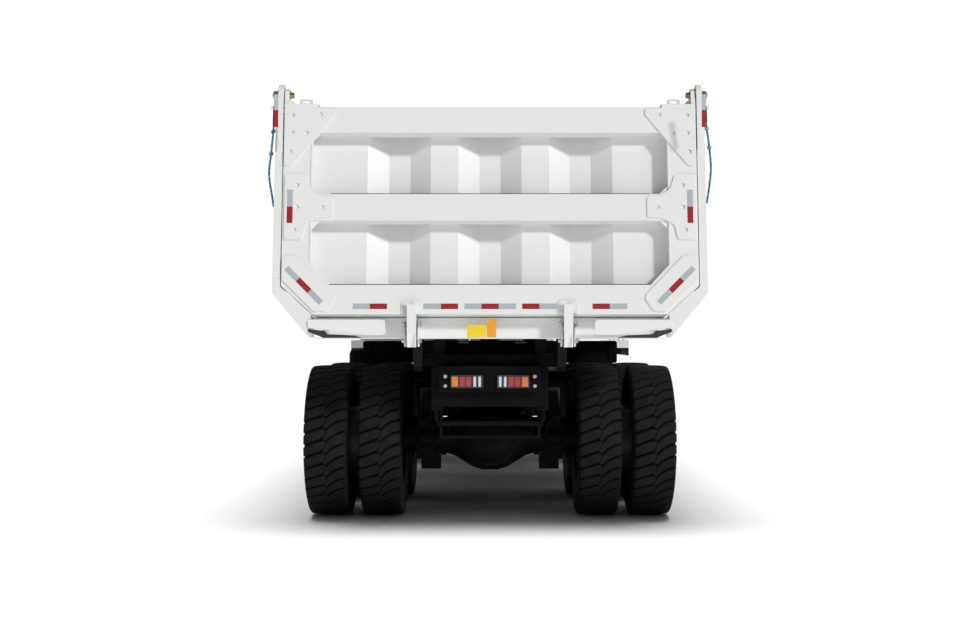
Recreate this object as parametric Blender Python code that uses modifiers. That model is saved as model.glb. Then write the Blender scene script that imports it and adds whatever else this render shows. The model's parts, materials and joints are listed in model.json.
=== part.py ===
"""Mining dump truck, wide-body 6x4: the solids of its assembly.

Metres, +X the truck's right, +Y forward, +Z up. The origin is on the ground,
under the middle of the truck.
"""

import math

import bmesh
import bpy
from mathutils import Matrix, Vector

# Fits
TOUCH = 0.0003  # between pieces that rest on each other
PLAY = 0.006  # round a door

# Wheels and tyres
AXLE_HEIGHT = 0.685
TYRE_WIDTH = 0.385
TREAD_WIDTH = 0.357
BEAD_RADIUS = 0.318
RIM_WIDTH = 0.27
RIM_WALL = 0.022
TWIN_SPACING = 0.480
TWIN_MIDDLE = 1.208  # half the distance between the middles of the twin wheels
FRONT_TRACK = 2.84
WHEEL_SIDES = 24
FRONT_AXLE_Y = 2.35
MID_AXLE_Y = -1.55
BOGIE_SPACING = 1.50
REAR_AXLE_Y = MID_AXLE_Y - BOGIE_SPACING
BOGIE_Y = MID_AXLE_Y - BOGIE_SPACING / 2

# Axles
AXLE_TUBE_RADIUS = 0.12
SPINDLE_RADIUS = 0.07
DRUM_RADIUS = 0.21
DRUM_FACE = 0.80  # distance from the middle plane to a rear brake drum
KINGPIN_X = 1.18
KINGPIN_RADIUS = 0.065
BEAM_LOW, BEAM_HIGH = 0.60, 0.74
ARM_LENGTH = 0.30
ARM_THICK = 0.035
BOSS_RISE = 0.02  # of the kingpin bosses and spring seats over the front beam
FORK_DROP = 0.07  # of a knuckle's lower fork below the front beam
KNUCKLE_REACH = 0.12  # from the kingpin to the knuckle's outer face

# Chassis
RAIL_OUTER = 0.50
RAIL_WIDTH = 0.10
RAIL_LOW, RAIL_HIGH = 1.00, 1.36
RAIL_WEB = 0.016
FRAME_REAR, FRAME_FRONT = -3.98, 4.18
PIVOT_Y, PIVOT_Z = -3.80, 1.42
PIVOT_RADIUS = 0.055

# Dump body
BODY_HALF = 1.80
WALL_INNER = 1.70
SHEET = 0.020
FLOOR_TOP = 1.80
FLOOR_BOTTOM = 1.61
FLOOR_HALF = 1.45
CHAMFER_TOP = 2.05
BODY_TOP = 3.52
FLOOR_FRONT = 0.95
HEAD_TOP_Y = 1.45
SILL_Y = -4.26
RIB_WIDTH = 0.14
RIBS = 6
CANOPY_HALF = 1.62
CANOPY_FRONT = 4.08
CANOPY_HEIGHT = 3.98

# Tailgate, in its own leaning frame: x across, n forward from its rear face, v up
TAIL_LEAN = math.radians(7.8)
TAIL_REAR = -4.40
TAIL_BOTTOM = 1.81
TAIL_HALF = 1.727
TAIL_HEIGHT = 1.763
TAIL_POST_INNER = 1.485
BEAM_DEPTH = 0.12
PANEL_STEP = 0.10
CORRUGATION_PITCH = 0.766
HINGE_Y, HINGE_Z = -4.08, 3.669
POST_INNER, POST_OUTER = 1.735, 1.78
LATCH_X = 0.645

# Hoist
HOIST_Y, HOIST_Z = 1.75, 1.10
EYE_Y, EYE_Z = 1.70, 3.20
BARREL_RADIUS = 0.125
ROD_RADIUS = 0.042
EYE_HALF = 0.045
TRUNNION_HALF = 0.15

# Ropes on the hinge posts
ROPE_Y = -4.14
ROPE_RADIUS = 0.009
RING_Z = 3.555
RING_RADIUS = 0.012

# Cab and front
CAB_LEFT, CAB_RIGHT = -1.74, -0.30
CAB_REAR, CAB_FRONT = 2.60, 4.05
DECK_TOP = 1.55
CAB_FLOOR, CAB_TOP = DECK_TOP + TOUCH, 3.35
CAB_WALL = 0.05
DOOR_REAR, DOOR_FRONT = 2.74, 3.64
DOOR_BOTTOM, DOOR_TOP = 1.63, 3.20
GLASS = 0.008
DECK_THICK = 0.05
DECK_HALF = 1.80
DECK_REAR, DECK_FRONT = 2.06, 4.14
HOOD_LEFT, HOOD_RIGHT = -0.26, 0.80
HOOD_REAR, HOOD_FRONT = 2.30, 4.13
HOOD_TOP = 2.34
BUMPER_FRONT = 4.445

SIDES = (("left", -1), ("right", 1))


def new_collection(name, rendered):
    collection = bpy.data.collections.new(name)
    bpy.context.scene.collection.children.link(collection)
    collection.hide_render = not rendered
    return collection


for old in list(bpy.data.objects):
    bpy.data.objects.remove(old, do_unlink=True)
TRUCK = new_collection("mining_dump_truck", True)
TOOLS = new_collection("cutters", False)


def material(name, colour, roughness, metallic=0.0, alpha=1.0):
    made = bpy.data.materials.new(name)
    made.use_nodes = True
    shader = made.node_tree.nodes["Principled BSDF"]
    shader.inputs["Base Color"].default_value = (*colour, 1.0)
    shader.inputs["Roughness"].default_value = roughness
    shader.inputs["Metallic"].default_value = metallic
    shader.inputs["Alpha"].default_value = alpha
    made.diffuse_color = (*colour, alpha)
    return made


WHITE = material("white_paint", (0.80, 0.80, 0.78), 0.35)
BLACK = material("chassis_black", (0.02, 0.02, 0.022), 0.5)
TYRE = material("tyre_rubber", (0.025, 0.025, 0.026), 0.85)
RIM = material("rim_paint", (0.05, 0.05, 0.055), 0.45)
GREY = material("cast_grey", (0.12, 0.12, 0.13), 0.55)
CHROME = material("hard_chrome", (0.60, 0.61, 0.63), 0.2, 1.0)
CLEAR = material("tinted_glass", (0.25, 0.32, 0.33), 0.05, 0.0, 0.35)
FABRIC = material("seat_fabric", (0.05, 0.05, 0.06), 0.9)
PLASTIC = material("black_plastic", (0.03, 0.03, 0.03), 0.6)
ROPE = material("blue_rope", (0.10, 0.32, 0.48), 0.9)


# ---- shapes -----------------------------------------------------------------


def tool(mesh, matrix, name="piece"):
    """A helper object, which a node takes as its base, adds or cuts with."""
    obj = bpy.data.objects.new(name, mesh)
    TOOLS.objects.link(obj)
    obj.matrix_world = matrix
    obj.hide_render = True
    obj.display_type = "WIRE"
    return obj


def block(low, high, frame=Matrix()):
    """A box between two corners, which stand in the frame."""
    low, high = Vector(low), Vector(high)
    form = bmesh.new()
    bmesh.ops.create_cube(form, size=1.0)
    bmesh.ops.scale(form, vec=high - low, verts=form.verts)
    mesh = bpy.data.meshes.new("block")
    form.to_mesh(mesh)
    form.free()
    return tool(mesh, frame @ Matrix.Translation((low + high) / 2))


def pair(low, high, side, frame=Matrix()):
    """A box given for the right side, or its mirror image on the left."""
    ends = sorted((low[0] * side, high[0] * side))
    return block((ends[0], *low[1:]), (ends[1], *high[1:]), frame)


AXES = {
    "X": Matrix(((0, 0, 1, 0), (1, 0, 0, 0), (0, 1, 0, 0), (0, 0, 0, 1))),
    "Y": Matrix(((1, 0, 0, 0), (0, 0, -1, 0), (0, 1, 0, 0), (0, 0, 0, 1))),
    "Z": Matrix(),
}


def plate(outline, axis, low, high, frame=Matrix()):
    """A flat outline, in the two axes other than the one it is extruded along."""
    curve = bpy.data.curves.new("outline", "CURVE")
    curve.dimensions = "2D"
    curve.fill_mode = "BOTH"
    curve.extrude = (high - low) / 2
    spline = curve.splines.new("POLY")
    spline.points.add(len(outline) - 1)
    for point, place in zip(spline.points, outline):
        point.co = (*place, 0, 1)
    spline.use_cyclic_u = True
    drawn = bpy.data.objects.new("outline", curve)
    mesh = bpy.data.meshes.new_from_object(drawn)
    bpy.data.objects.remove(drawn)
    form = bmesh.new()
    form.from_mesh(mesh)
    bmesh.ops.remove_doubles(form, verts=form.verts, dist=0.00001)
    bmesh.ops.recalc_face_normals(form, faces=form.faces)
    form.to_mesh(mesh)
    form.free()
    middle = (low + high) / 2 * (-1 if axis == "Y" else 1)
    return tool(mesh, frame @ AXES[axis] @ Matrix.Translation((0, 0, middle)))


def rod(start, end, radius, sides=16, end_radius=None):
    """A cylinder, or a cone, from one point to another."""
    start, end = Vector(start), Vector(end)
    form = bmesh.new()
    bmesh.ops.create_cone(
        form,
        cap_ends=True,
        segments=sides,
        radius1=radius,
        radius2=radius if end_radius is None else end_radius,
        depth=(end - start).length,
    )
    mesh = bpy.data.meshes.new("rod")
    form.to_mesh(mesh)
    form.free()
    turn = (end - start).to_track_quat("Z", "Y").to_matrix().to_4x4()
    return tool(mesh, Matrix.Translation((start + end) / 2) @ turn)


def turned(profile, matrix, sides, ring=False):
    """A profile of (radius, height) points turned about its own Z.

    The points run down the outer side. A ring's profile closes on itself.
    """
    mesh = bpy.data.meshes.new("profile")
    points = [(radius, 0, height) for radius, height in profile]
    edges = [(i, i + 1) for i in range(len(points) - 1)]
    if ring:
        edges.append((len(points) - 1, 0))
    mesh.from_pydata(points, edges, [])
    obj = tool(mesh, matrix)
    screw = obj.modifiers.new("turn", "SCREW")
    screw.steps = screw.render_steps = sides
    screw.use_merge_vertices = True
    screw.merge_threshold = 0.00001
    return obj


def across(side, x, y, z, sides):
    """Places a turned shape on an axle: its Z points outward, a flat side is down."""
    turn = Matrix.Rotation(math.radians(90 * side), 4, "Y")
    half_step = Matrix.Rotation(math.pi / sides, 4, "Z")
    return Matrix.Translation((x * side, y, z)) @ turn @ half_step


def node(name, finish, pieces, cuts=(), empty=None, smooth=0.0):
    """One solid: the first piece with the others joined to it and the cuts taken off."""
    obj = pieces[0]
    TOOLS.objects.unlink(obj)
    TRUCK.objects.link(obj)
    obj.name = name
    obj.hide_render = False
    obj.display_type = "TEXTURED"
    obj.data.materials.append(finish)
    for operation, others in (("UNION", pieces[1:]), ("DIFFERENCE", cuts)):
        for other in others:
            change = obj.modifiers.new(operation.lower(), "BOOLEAN")
            change.operation = operation
            change.object = other
    if smooth:
        obj.data.shade_smooth()
        obj.data.set_sharp_from_angle(angle=math.radians(smooth))
    if empty:
        obj.parent = empty
        obj.matrix_parent_inverse = Matrix.Translation(empty.location).inverted()
    return obj


def pivot(name, place):
    empty = bpy.data.objects.new(name, None)
    TRUCK.objects.link(empty)
    empty.location = place
    return empty


# ---- wheels -----------------------------------------------------------------

# The corners of the tread stand on the circle whose flats touch the ground.
TYRE_RADIUS = AXLE_HEIGHT / math.cos(math.pi / WHEEL_SIDES)


def tyre_profile():
    half, tread = TYRE_WIDTH / 2, TREAD_WIDTH / 2
    inner = BEAD_RADIUS + TOUCH
    side = TYRE_RADIUS - 0.13
    foot = RIM_WIDTH / 2 - 0.012
    return [
        (inner, foot),
        (BEAD_RADIUS + 0.05, foot + 0.012),
        (side, half),
        (TYRE_RADIUS - 0.03, tread),
        (TYRE_RADIUS, tread - 0.03),
        (TYRE_RADIUS, 0.03 - tread),
        (TYRE_RADIUS - 0.03, -tread),
        (side, -half),
        (BEAD_RADIUS + 0.05, -foot - 0.012),
        (inner, -foot),
    ]


def tyre(name, side, x, y, empty):
    frame = across(side, x, y, AXLE_HEIGHT, WHEEL_SIDES)
    piece = turned(tyre_profile(), frame, WHEEL_SIDES, ring=True)
    return node(name, TYRE, [piece], empty=empty, smooth=40)


# The flats of a hub's bore clear its spindle.
BORE_RADIUS = (SPINDLE_RADIUS + TOUCH) / math.cos(math.pi / WHEEL_SIDES)


def twin_rim(name, side, y, empty):
    """Both rims of a twin wheel, bolted to one hub with its drum and reduction gear."""
    reach = TWIN_SPACING / 2 + RIM_WIDTH / 2
    barrel, inside = BEAD_RADIUS, BEAD_RADIUS - RIM_WALL
    drum_face = DRUM_FACE + TOUCH - TWIN_MIDDLE
    profile = [
        (0, 0.30),
        (0.11, 0.30),
        (0.15, 0.26),
        (0.16, 0.03),
        (inside, 0.03),
        (inside, reach),
        (barrel, reach),
        (barrel, -reach),
        (inside, -reach),
        (inside, -0.03),
        (DRUM_RADIUS, -0.03),
        (DRUM_RADIUS, drum_face),
        (BORE_RADIUS, drum_face),
        (BORE_RADIUS, drum_face + 0.08),
        (0, drum_face + 0.08),
    ]
    frame = across(side, TWIN_MIDDLE, y, AXLE_HEIGHT, WHEEL_SIDES)
    return node(name, RIM, [turned(profile, frame, WHEEL_SIDES)], empty=empty, smooth=35)


def front_rim(name, side, empty):
    barrel, inside = BEAD_RADIUS, BEAD_RADIUS - RIM_WALL
    half = RIM_WIDTH / 2
    face = KINGPIN_X + KNUCKLE_REACH + PLAY - FRONT_TRACK / 2
    profile = [
        (0, 0.10),
        (0.08, 0.10),
        (0.11, 0.07),
        (0.13, 0.035),
        (inside, 0.02),
        (inside, half),
        (barrel, half),
        (barrel, -half),
        (inside, -half),
        (inside, -0.01),
        (0.19, -0.01),
        (0.19, face),
        (BORE_RADIUS, face),
        (BORE_RADIUS, face + 0.09),
        (0, face + 0.09),
    ]
    frame = across(side, FRONT_TRACK / 2, FRONT_AXLE_Y, AXLE_HEIGHT, WHEEL_SIDES)
    piece = turned(profile, frame, WHEEL_SIDES)
    return node(name, RIM, [piece], empty=empty, smooth=35)


for side_name, side in SIDES:
    hub = pivot(f"front_hub_{side_name}", (side * FRONT_TRACK / 2, FRONT_AXLE_Y, AXLE_HEIGHT))
    tyre(f"front_tyre_{side_name}", side, FRONT_TRACK / 2, FRONT_AXLE_Y, hub)
    front_rim(f"front_rim_{side_name}", side, hub)
    for axle, axle_y in (("middle", MID_AXLE_Y), ("rear", REAR_AXLE_Y)):
        hub = pivot(f"{axle}_hub_{side_name}", (side * TWIN_MIDDLE, axle_y, AXLE_HEIGHT))
        for place, shift in (("inner", -1), ("outer", 1)):
            x = TWIN_MIDDLE + shift * TWIN_SPACING / 2
            tyre(f"{axle}_{place}_tyre_{side_name}", side, x, axle_y, hub)
        twin_rim(f"{axle}_twin_rim_{side_name}", side, axle_y, hub)


# ---- axles, steering and springs --------------------------------------------

SPRING_X = (0.42, 0.54)
FRONT_SPRING_REACH = 0.78
SPRING_LIFT = 0.10
SPRING_THICK = 0.11
SPRING_FLAT = 0.14  # the clamped part of a leaf pack, as a share of its half length
SPRING_TIP = 0.12  # thickness at a tip, as a share of the middle's
FRONT_SEAT = BEAM_HIGH + BOSS_RISE + TOUCH
FRONT_TIP = FRONT_SEAT + SPRING_LIFT * (1 - SPRING_FLAT) ** 2 + SPRING_THICK * SPRING_TIP
BOGIE_X = (0.53, 0.65)
BOGIE_SEAT = 0.90  # top of the saddle that the bogie springs lie on
SPRING_SEAT = AXLE_HEIGHT + AXLE_TUBE_RADIUS + 0.03
NOSE_REACH = 0.42
AXLE_NOSE_Z = AXLE_HEIGHT + 0.05
BOWL_RADIUS = 0.288


def drive_axle(name, y, noses):
    """A banjo housing with a bell-shaped bowl, spindles and spring seats."""
    end = DRUM_FACE + 0.07
    bowl = [
        (0, end),
        (SPINDLE_RADIUS, end),
        (SPINDLE_RADIUS, DRUM_FACE),
        (AXLE_TUBE_RADIUS, DRUM_FACE),
        (AXLE_TUBE_RADIUS, 0.42),
        (0.145, 0.33),
        (0.20, 0.24),
        (0.25, 0.16),
        (BOWL_RADIUS - 0.01, 0.07),
    ]
    mirrored = [(radius, -height) for radius, height in reversed(bowl)]
    pieces = [turned(bowl + mirrored, across(1, 0, y, AXLE_HEIGHT, 16), 16)]
    for nose in noses:
        start, end = (0, y, AXLE_NOSE_Z), (0, y + nose * NOSE_REACH, AXLE_NOSE_Z)
        pieces.append(rod(start, end, 0.20, 16, 0.10))
    for _, side in SIDES:
        low = (BOGIE_X[0] - 0.02, y - 0.12, AXLE_HEIGHT - AXLE_TUBE_RADIUS - 0.05)
        pieces.append(pair(low, (BOGIE_X[1] + 0.02, y + 0.12, SPRING_SEAT), side))
        foot = (BOGIE_X[0] - 0.08, y - 0.07, 0.42)
        pieces.append(pair(foot, (BOGIE_X[1] - 0.02, y + 0.07, AXLE_HEIGHT), side))
    return node(name, BLACK, pieces)


drive_axle("middle_axle", MID_AXLE_Y, (1, -1))
drive_axle("rear_axle", REAR_AXLE_Y, (1,))

BEAM_END = KINGPIN_X - KINGPIN_RADIUS + 0.02


def front_axle():
    y = FRONT_AXLE_Y
    pieces = [block((-BEAM_END, y - 0.045, BEAM_LOW), (BEAM_END, y + 0.045, BEAM_HIGH))]
    for _, side in SIDES:
        x = side * KINGPIN_X
        low, high = (x, y, BEAM_LOW), (x, y, BEAM_HIGH + BOSS_RISE)
        pieces.append(rod(low, high, KINGPIN_RADIUS, 16))
        seat = (SPRING_X[0] - 0.02, y - 0.13, BEAM_LOW - 0.02)
        top = (SPRING_X[1] + 0.02, y + 0.13, BEAM_HIGH + BOSS_RISE)
        pieces.append(pair(seat, top, side))
    return node("front_axle", BLACK, pieces)


front_axle()


def knuckle(side_name, side):
    """A fork round the kingpin boss, with the wheel's spindle and the steering arm."""
    y, near = FRONT_AXLE_Y, KINGPIN_X - 0.06
    flange, face = KINGPIN_X + 0.08, KINGPIN_X + KNUCKLE_REACH
    low, high = BEAM_LOW - FORK_DROP, BEAM_HIGH + 0.09
    over = BEAM_HIGH + BOSS_RISE + TOUCH
    pieces = [
        pair((flange, y - 0.11, low), (face, y + 0.11, high), side),
        pair((near, y - 0.06, over), (flange + 0.01, y + 0.06, high), side),
        pair((near, y - 0.06, low), (flange + 0.01, y + 0.06, BEAM_LOW - TOUCH), side),
        pair((near, y - ARM_LENGTH - 0.05, low), (KINGPIN_X, y, low + ARM_THICK), side),
    ]
    start = (side * (face - 0.01), y, AXLE_HEIGHT)
    end = (side * (face + PLAY + 0.08), y, AXLE_HEIGHT)
    spindle = rod(start, end, SPINDLE_RADIUS, 24)
    empty = pivot(f"kingpin_{side_name}", (side * KINGPIN_X, y, AXLE_HEIGHT))
    return node(f"knuckle_{side_name}", BLACK, [*pieces, spindle], empty=empty)


for side_name, side in SIDES:
    knuckle(side_name, side)

TIE_X = KINGPIN_X - 0.03
TIE_Y = FRONT_AXLE_Y - ARM_LENGTH
TIE_LOW = BEAM_LOW - FORK_DROP + ARM_THICK + TOUCH


def tie_rod():
    middle = TIE_LOW + 0.022
    pieces = [rod((-TIE_X, TIE_Y, middle), (TIE_X, TIE_Y, middle), 0.019, 12)]
    for _, side in SIDES:
        x = side * TIE_X
        pieces.append(rod((x, TIE_Y, TIE_LOW), (x, TIE_Y, TIE_LOW + 0.05), 0.032, 12))
    empty = pivot("tie_rod_end", (-TIE_X, TIE_Y, TIE_LOW))
    return node("tie_rod", BLACK, pieces, empty=empty)


tie_rod()


def leaf_spring(name, side, xs, y, reach, seat, lift, thick):
    """A leaf pack, thick in its middle, bowed up at both ends."""
    steps = (-1.0, -0.72, -0.4, -SPRING_FLAT, SPRING_FLAT, 0.4, 0.72, 1.0)
    bow = [lift * max(0.0, abs(t) - SPRING_FLAT) ** 2 for t in steps]
    under = [(y + t * reach, seat + rise) for t, rise in zip(steps, bow)]
    over = [
        (y + t * reach, seat + rise + thick * (1 + SPRING_TIP - abs(t)))
        for t, rise in zip(steps, bow)
    ]
    low, high = sorted((side * xs[0], side * xs[1]))
    return node(name, BLACK, [plate(under + over[::-1], "X", low, high)])


for side_name, side in SIDES:
    leaf_spring(
        f"front_spring_{side_name}", side, SPRING_X, FRONT_AXLE_Y, FRONT_SPRING_REACH,
        FRONT_SEAT, SPRING_LIFT, SPRING_THICK,
    )


def bogie_spring(side_name, side):
    """A leaf pack that lies on its saddle and on the seats of both drive axles."""
    rise = SPRING_SEAT + TOUCH
    seat = BOGIE_SEAT + TOUCH
    reach = BOGIE_SPACING / 2
    half = [(0.16, seat), (reach - 0.11, rise), (reach + 0.12, rise)]
    top = [(reach + 0.12, rise + 0.035), (reach - 0.05, rise + 0.06), (0.18, seat + 0.20)]
    right = [(BOGIE_Y + u, z) for u, z in half + top]
    left = [(BOGIE_Y - u, z) for u, z in reversed(half + top)]
    low, high = sorted((side * BOGIE_X[0], side * BOGIE_X[1]))
    return node(f"bogie_spring_{side_name}", BLACK, [plate(right + left, "X", low, high)])


for side_name, side in SIDES:
    bogie_spring(side_name, side)


# ---- chassis ----------------------------------------------------------------

SHAFT_RADIUS = 0.05
GEARBOX_REAR = 1.95
GEARBOX_OUT = 0.87
BUMPER_REAR = FRAME_FRONT + TOUCH
LAMP_Y = FRAME_REAR - 0.07
TOW_TUBE_Z = 0.885


def chassis_frame():
    rail = [
        (RAIL_OUTER, RAIL_LOW),
        (RAIL_OUTER, RAIL_HIGH),
        (RAIL_OUTER - RAIL_WIDTH, RAIL_HIGH),
        (RAIL_OUTER - RAIL_WIDTH, RAIL_HIGH - 0.025),
        (RAIL_OUTER - RAIL_WEB, RAIL_HIGH - 0.025),
        (RAIL_OUTER - RAIL_WEB, RAIL_LOW + 0.025),
        (RAIL_OUTER - RAIL_WIDTH, RAIL_LOW + 0.025),
        (RAIL_OUTER - RAIL_WIDTH, RAIL_LOW),
    ]
    pieces = [
        plate([(side * x, z) for x, z in rail], "Y", FRAME_REAR, FRAME_FRONT)
        for _, side in SIDES
    ]
    inner = RAIL_OUTER - RAIL_WEB / 2
    members = (
        (FRAME_REAR, 0.06, 1.03, 1.345),
        (REAR_AXLE_Y, 0.14, 1.10, 1.30),
        (BOGIE_Y, 0.34, 0.96, 1.30),
        (-0.45, 0.14, 1.05, 1.30),
        (0.80, 0.14, 1.05, 1.30),
        (HOIST_Y - 0.17, 0.34, 0.965, 1.015),
        (FRAME_FRONT - 0.10, 0.10, 1.03, 1.33),
    )
    for start, length, low, high in members:
        pieces.append(block((-inner, start, low), (inner, start + length, high)))
    # The lamp panel hangs behind the rear cross-member.
    pieces.append(block((-0.43, LAMP_Y, 1.16), (0.43, LAMP_Y + 0.02, 1.375)))
    pieces.append(block((-0.30, LAMP_Y + 0.01, 1.20), (0.30, FRAME_REAR + 0.03, 1.30)))
    # Body pivot tube and its brackets
    pieces.append(rod((-0.58, PIVOT_Y, PIVOT_Z), (0.58, PIVOT_Y, PIVOT_Z), PIVOT_RADIUS, 20))
    tube_z = BOGIE_SEAT - 0.13
    for _, side in SIDES:
        bracket = [
            (PIVOT_Y - 0.13, RAIL_HIGH - 0.02),
            (PIVOT_Y - 0.05, PIVOT_Z + 0.05),
            (PIVOT_Y + 0.05, PIVOT_Z + 0.05),
            (PIVOT_Y + 0.20, RAIL_HIGH - 0.02),
        ]
        low, high = sorted((side * 0.41, side * 0.49))
        pieces.append(plate(bracket, "X", low, high))
        # Bogie bracket and saddle
        hanger = (RAIL_OUTER - 0.01, BOGIE_Y - 0.16, tube_z - 0.11)
        pieces.append(pair(hanger, (BOGIE_X[0] - 0.008, BOGIE_Y + 0.16, 1.20), side))
        saddle = (BOGIE_X[0], BOGIE_Y - 0.15, tube_z - 0.08)
        pieces.append(pair(saddle, (BOGIE_X[1], BOGIE_Y + 0.15, BOGIE_SEAT), side))
        start = (side * (RAIL_OUTER - 0.06), BOGIE_Y, tube_z)
        pieces.append(rod(start, (side * (BOGIE_X[1] + 0.02), BOGIE_Y, tube_z), 0.06, 16))
        # Front spring hangers
        for shift in (-FRONT_SPRING_REACH, FRONT_SPRING_REACH - 0.08):
            y = FRONT_AXLE_Y + shift
            low = (SPRING_X[0], y - 0.06, FRONT_TIP + TOUCH)
            high = (SPRING_X[1], y + 0.14, RAIL_LOW + 0.02)
            pieces.append(pair(low, high, side))
        # Hoist bracket cheeks
        cheek = (TRUNNION_HALF + TOUCH, HOIST_Y - 0.10, 1.00)
        pieces.append(pair(cheek, (TRUNNION_HALF + 0.05, HOIST_Y + 0.10, HOIST_Z + 0.09), side))
    # Tail cross tube, hung from the rails
    tube_y = FRAME_REAR + 0.20
    pieces.append(rod((-0.45, tube_y, TOW_TUBE_Z), (0.45, tube_y, TOW_TUBE_Z), 0.03, 12))
    for _, side in SIDES:
        drop = (0.41, tube_y - 0.06, TOW_TUBE_Z - 0.035)
        pieces.append(pair(drop, (0.46, tube_y + 0.06, RAIL_LOW + 0.03), side))
    return node("chassis_frame", BLACK, pieces)


chassis_frame()


def shaft(name, start, end):
    """A propeller shaft with a flange at each end, clear of its neighbours by a hair."""
    start, end = Vector(start), Vector(end)
    along = (end - start).normalized()
    pieces = [
        rod(start, end, SHAFT_RADIUS, 16),
        rod(start, start + along * 0.05, 0.085, 16),
        rod(end - along * 0.05, end, 0.085, 16),
    ]
    return node(name, GREY, pieces)


SHAFT_TILT = 0.0042  # lets the tilted flange's edge clear the flange it faces
shaft(
    "driveshaft",
    (0, MID_AXLE_Y + NOSE_REACH + SHAFT_TILT, AXLE_NOSE_Z),
    (0, GEARBOX_REAR - SHAFT_TILT, GEARBOX_OUT),
)
shaft(
    "inter_axle_shaft",
    (0, REAR_AXLE_Y + NOSE_REACH + TOUCH, AXLE_NOSE_Z),
    (0, MID_AXLE_Y - NOSE_REACH - TOUCH, AXLE_NOSE_Z),
)


def engine():
    """Engine and gearbox as one plain block on feet on the rails."""
    pieces = [
        block((-0.22, 2.42, 0.95), (0.38, 3.82, 2.02)),
        block((-0.20, GEARBOX_REAR, 0.78), (0.20, 2.50, 1.24)),
        block((-0.46, 2.90, RAIL_HIGH + TOUCH), (0.46, 3.02, RAIL_HIGH + 0.034)),
    ]
    return node("engine_block", GREY, pieces)


engine()


def bumper():
    half, low, high = 1.68, 0.72, 1.24
    outline = [
        (-half, BUMPER_REAR + 0.02),
        (-half + 0.02, BUMPER_REAR + 0.12),
        (-half + 0.28, BUMPER_FRONT),
        (half - 0.28, BUMPER_FRONT),
        (half - 0.02, BUMPER_REAR + 0.12),
        (half, BUMPER_REAR + 0.02),
        (half - 0.30, BUMPER_REAR),
        (0.3 - half, BUMPER_REAR),
    ]
    return node("front_bumper", WHITE, [plate(outline, "Z", low, high)])


bumper()


def tank(name, low, high, side, arms_z):
    """A bevelled tank on two arms that reach from the rail."""
    body = pair(low, high, side)
    edge = body.modifiers.new("edges", "BEVEL")
    edge.width = 0.05
    edge.segments = 2
    pieces = [body]
    for t in (0.2, 0.8):
        y = low[1] + t * (high[1] - low[1])
        near = (RAIL_OUTER + TOUCH, y - 0.05, arms_z[0])
        pieces.append(pair(near, (low[0] + 0.06, y + 0.05, arms_z[1]), side))
    return node(name, BLACK, pieces)


tank("fuel_tank", (0.62, -0.55, 0.60), (1.42, 1.25, 1.26), 1, (1.03, 1.15))
tank("hydraulic_tank", (0.62, 0.15, 0.60), (1.36, 1.25, 1.30), -1, (1.03, 1.15))
tank("battery_box", (1.02, -0.74, 0.96), (1.54, -0.14, 1.50), -1, (1.03, 1.15))


# ---- dump body --------------------------------------------------------------

BODY = pivot("dump_body_pivot", (0, PIVOT_Y, PIVOT_Z))
TAIL = Matrix.Translation((0, TAIL_REAR, TAIL_BOTTOM)) @ Matrix.Rotation(-TAIL_LEAN, 4, "X")
TAIL_CHAMFER = ((TAIL_HALF, 0.24), (1.47, 0.01))
TAIL_DEPTH = BEAM_DEPTH + PANEL_STEP + 0.014
FRAME_DEPTH = 0.33  # of the body's rear frame, from the tailgate's rear face
RAIL_N = 0.28  # where the top rail starts
HEAD_BEND = 2.08
LATCH_GAP = 0.012
ARM_HALF = 0.0375
CHEEK = 0.012
FLOOR_RIBS, FLOOR_RIB = 9, 0.12
FLOOR_RIB_START = -3.93


def leaning_y(n, z):
    """Where the plane that lies n ahead of the tailgate's rear face has this height."""
    rise = z - TAIL_BOTTOM + n * math.sin(TAIL_LEAN)
    return TAIL_REAR + n * math.cos(TAIL_LEAN) + rise * math.tan(TAIL_LEAN)


def head_y(z):
    """The rear face of the headboard, upright and then leaning over the hoist."""
    lean = (HEAD_TOP_Y - FLOOR_FRONT) / (BODY_TOP - HEAD_BEND)
    return FLOOR_FRONT + max(0.0, z - HEAD_BEND) * lean


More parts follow.
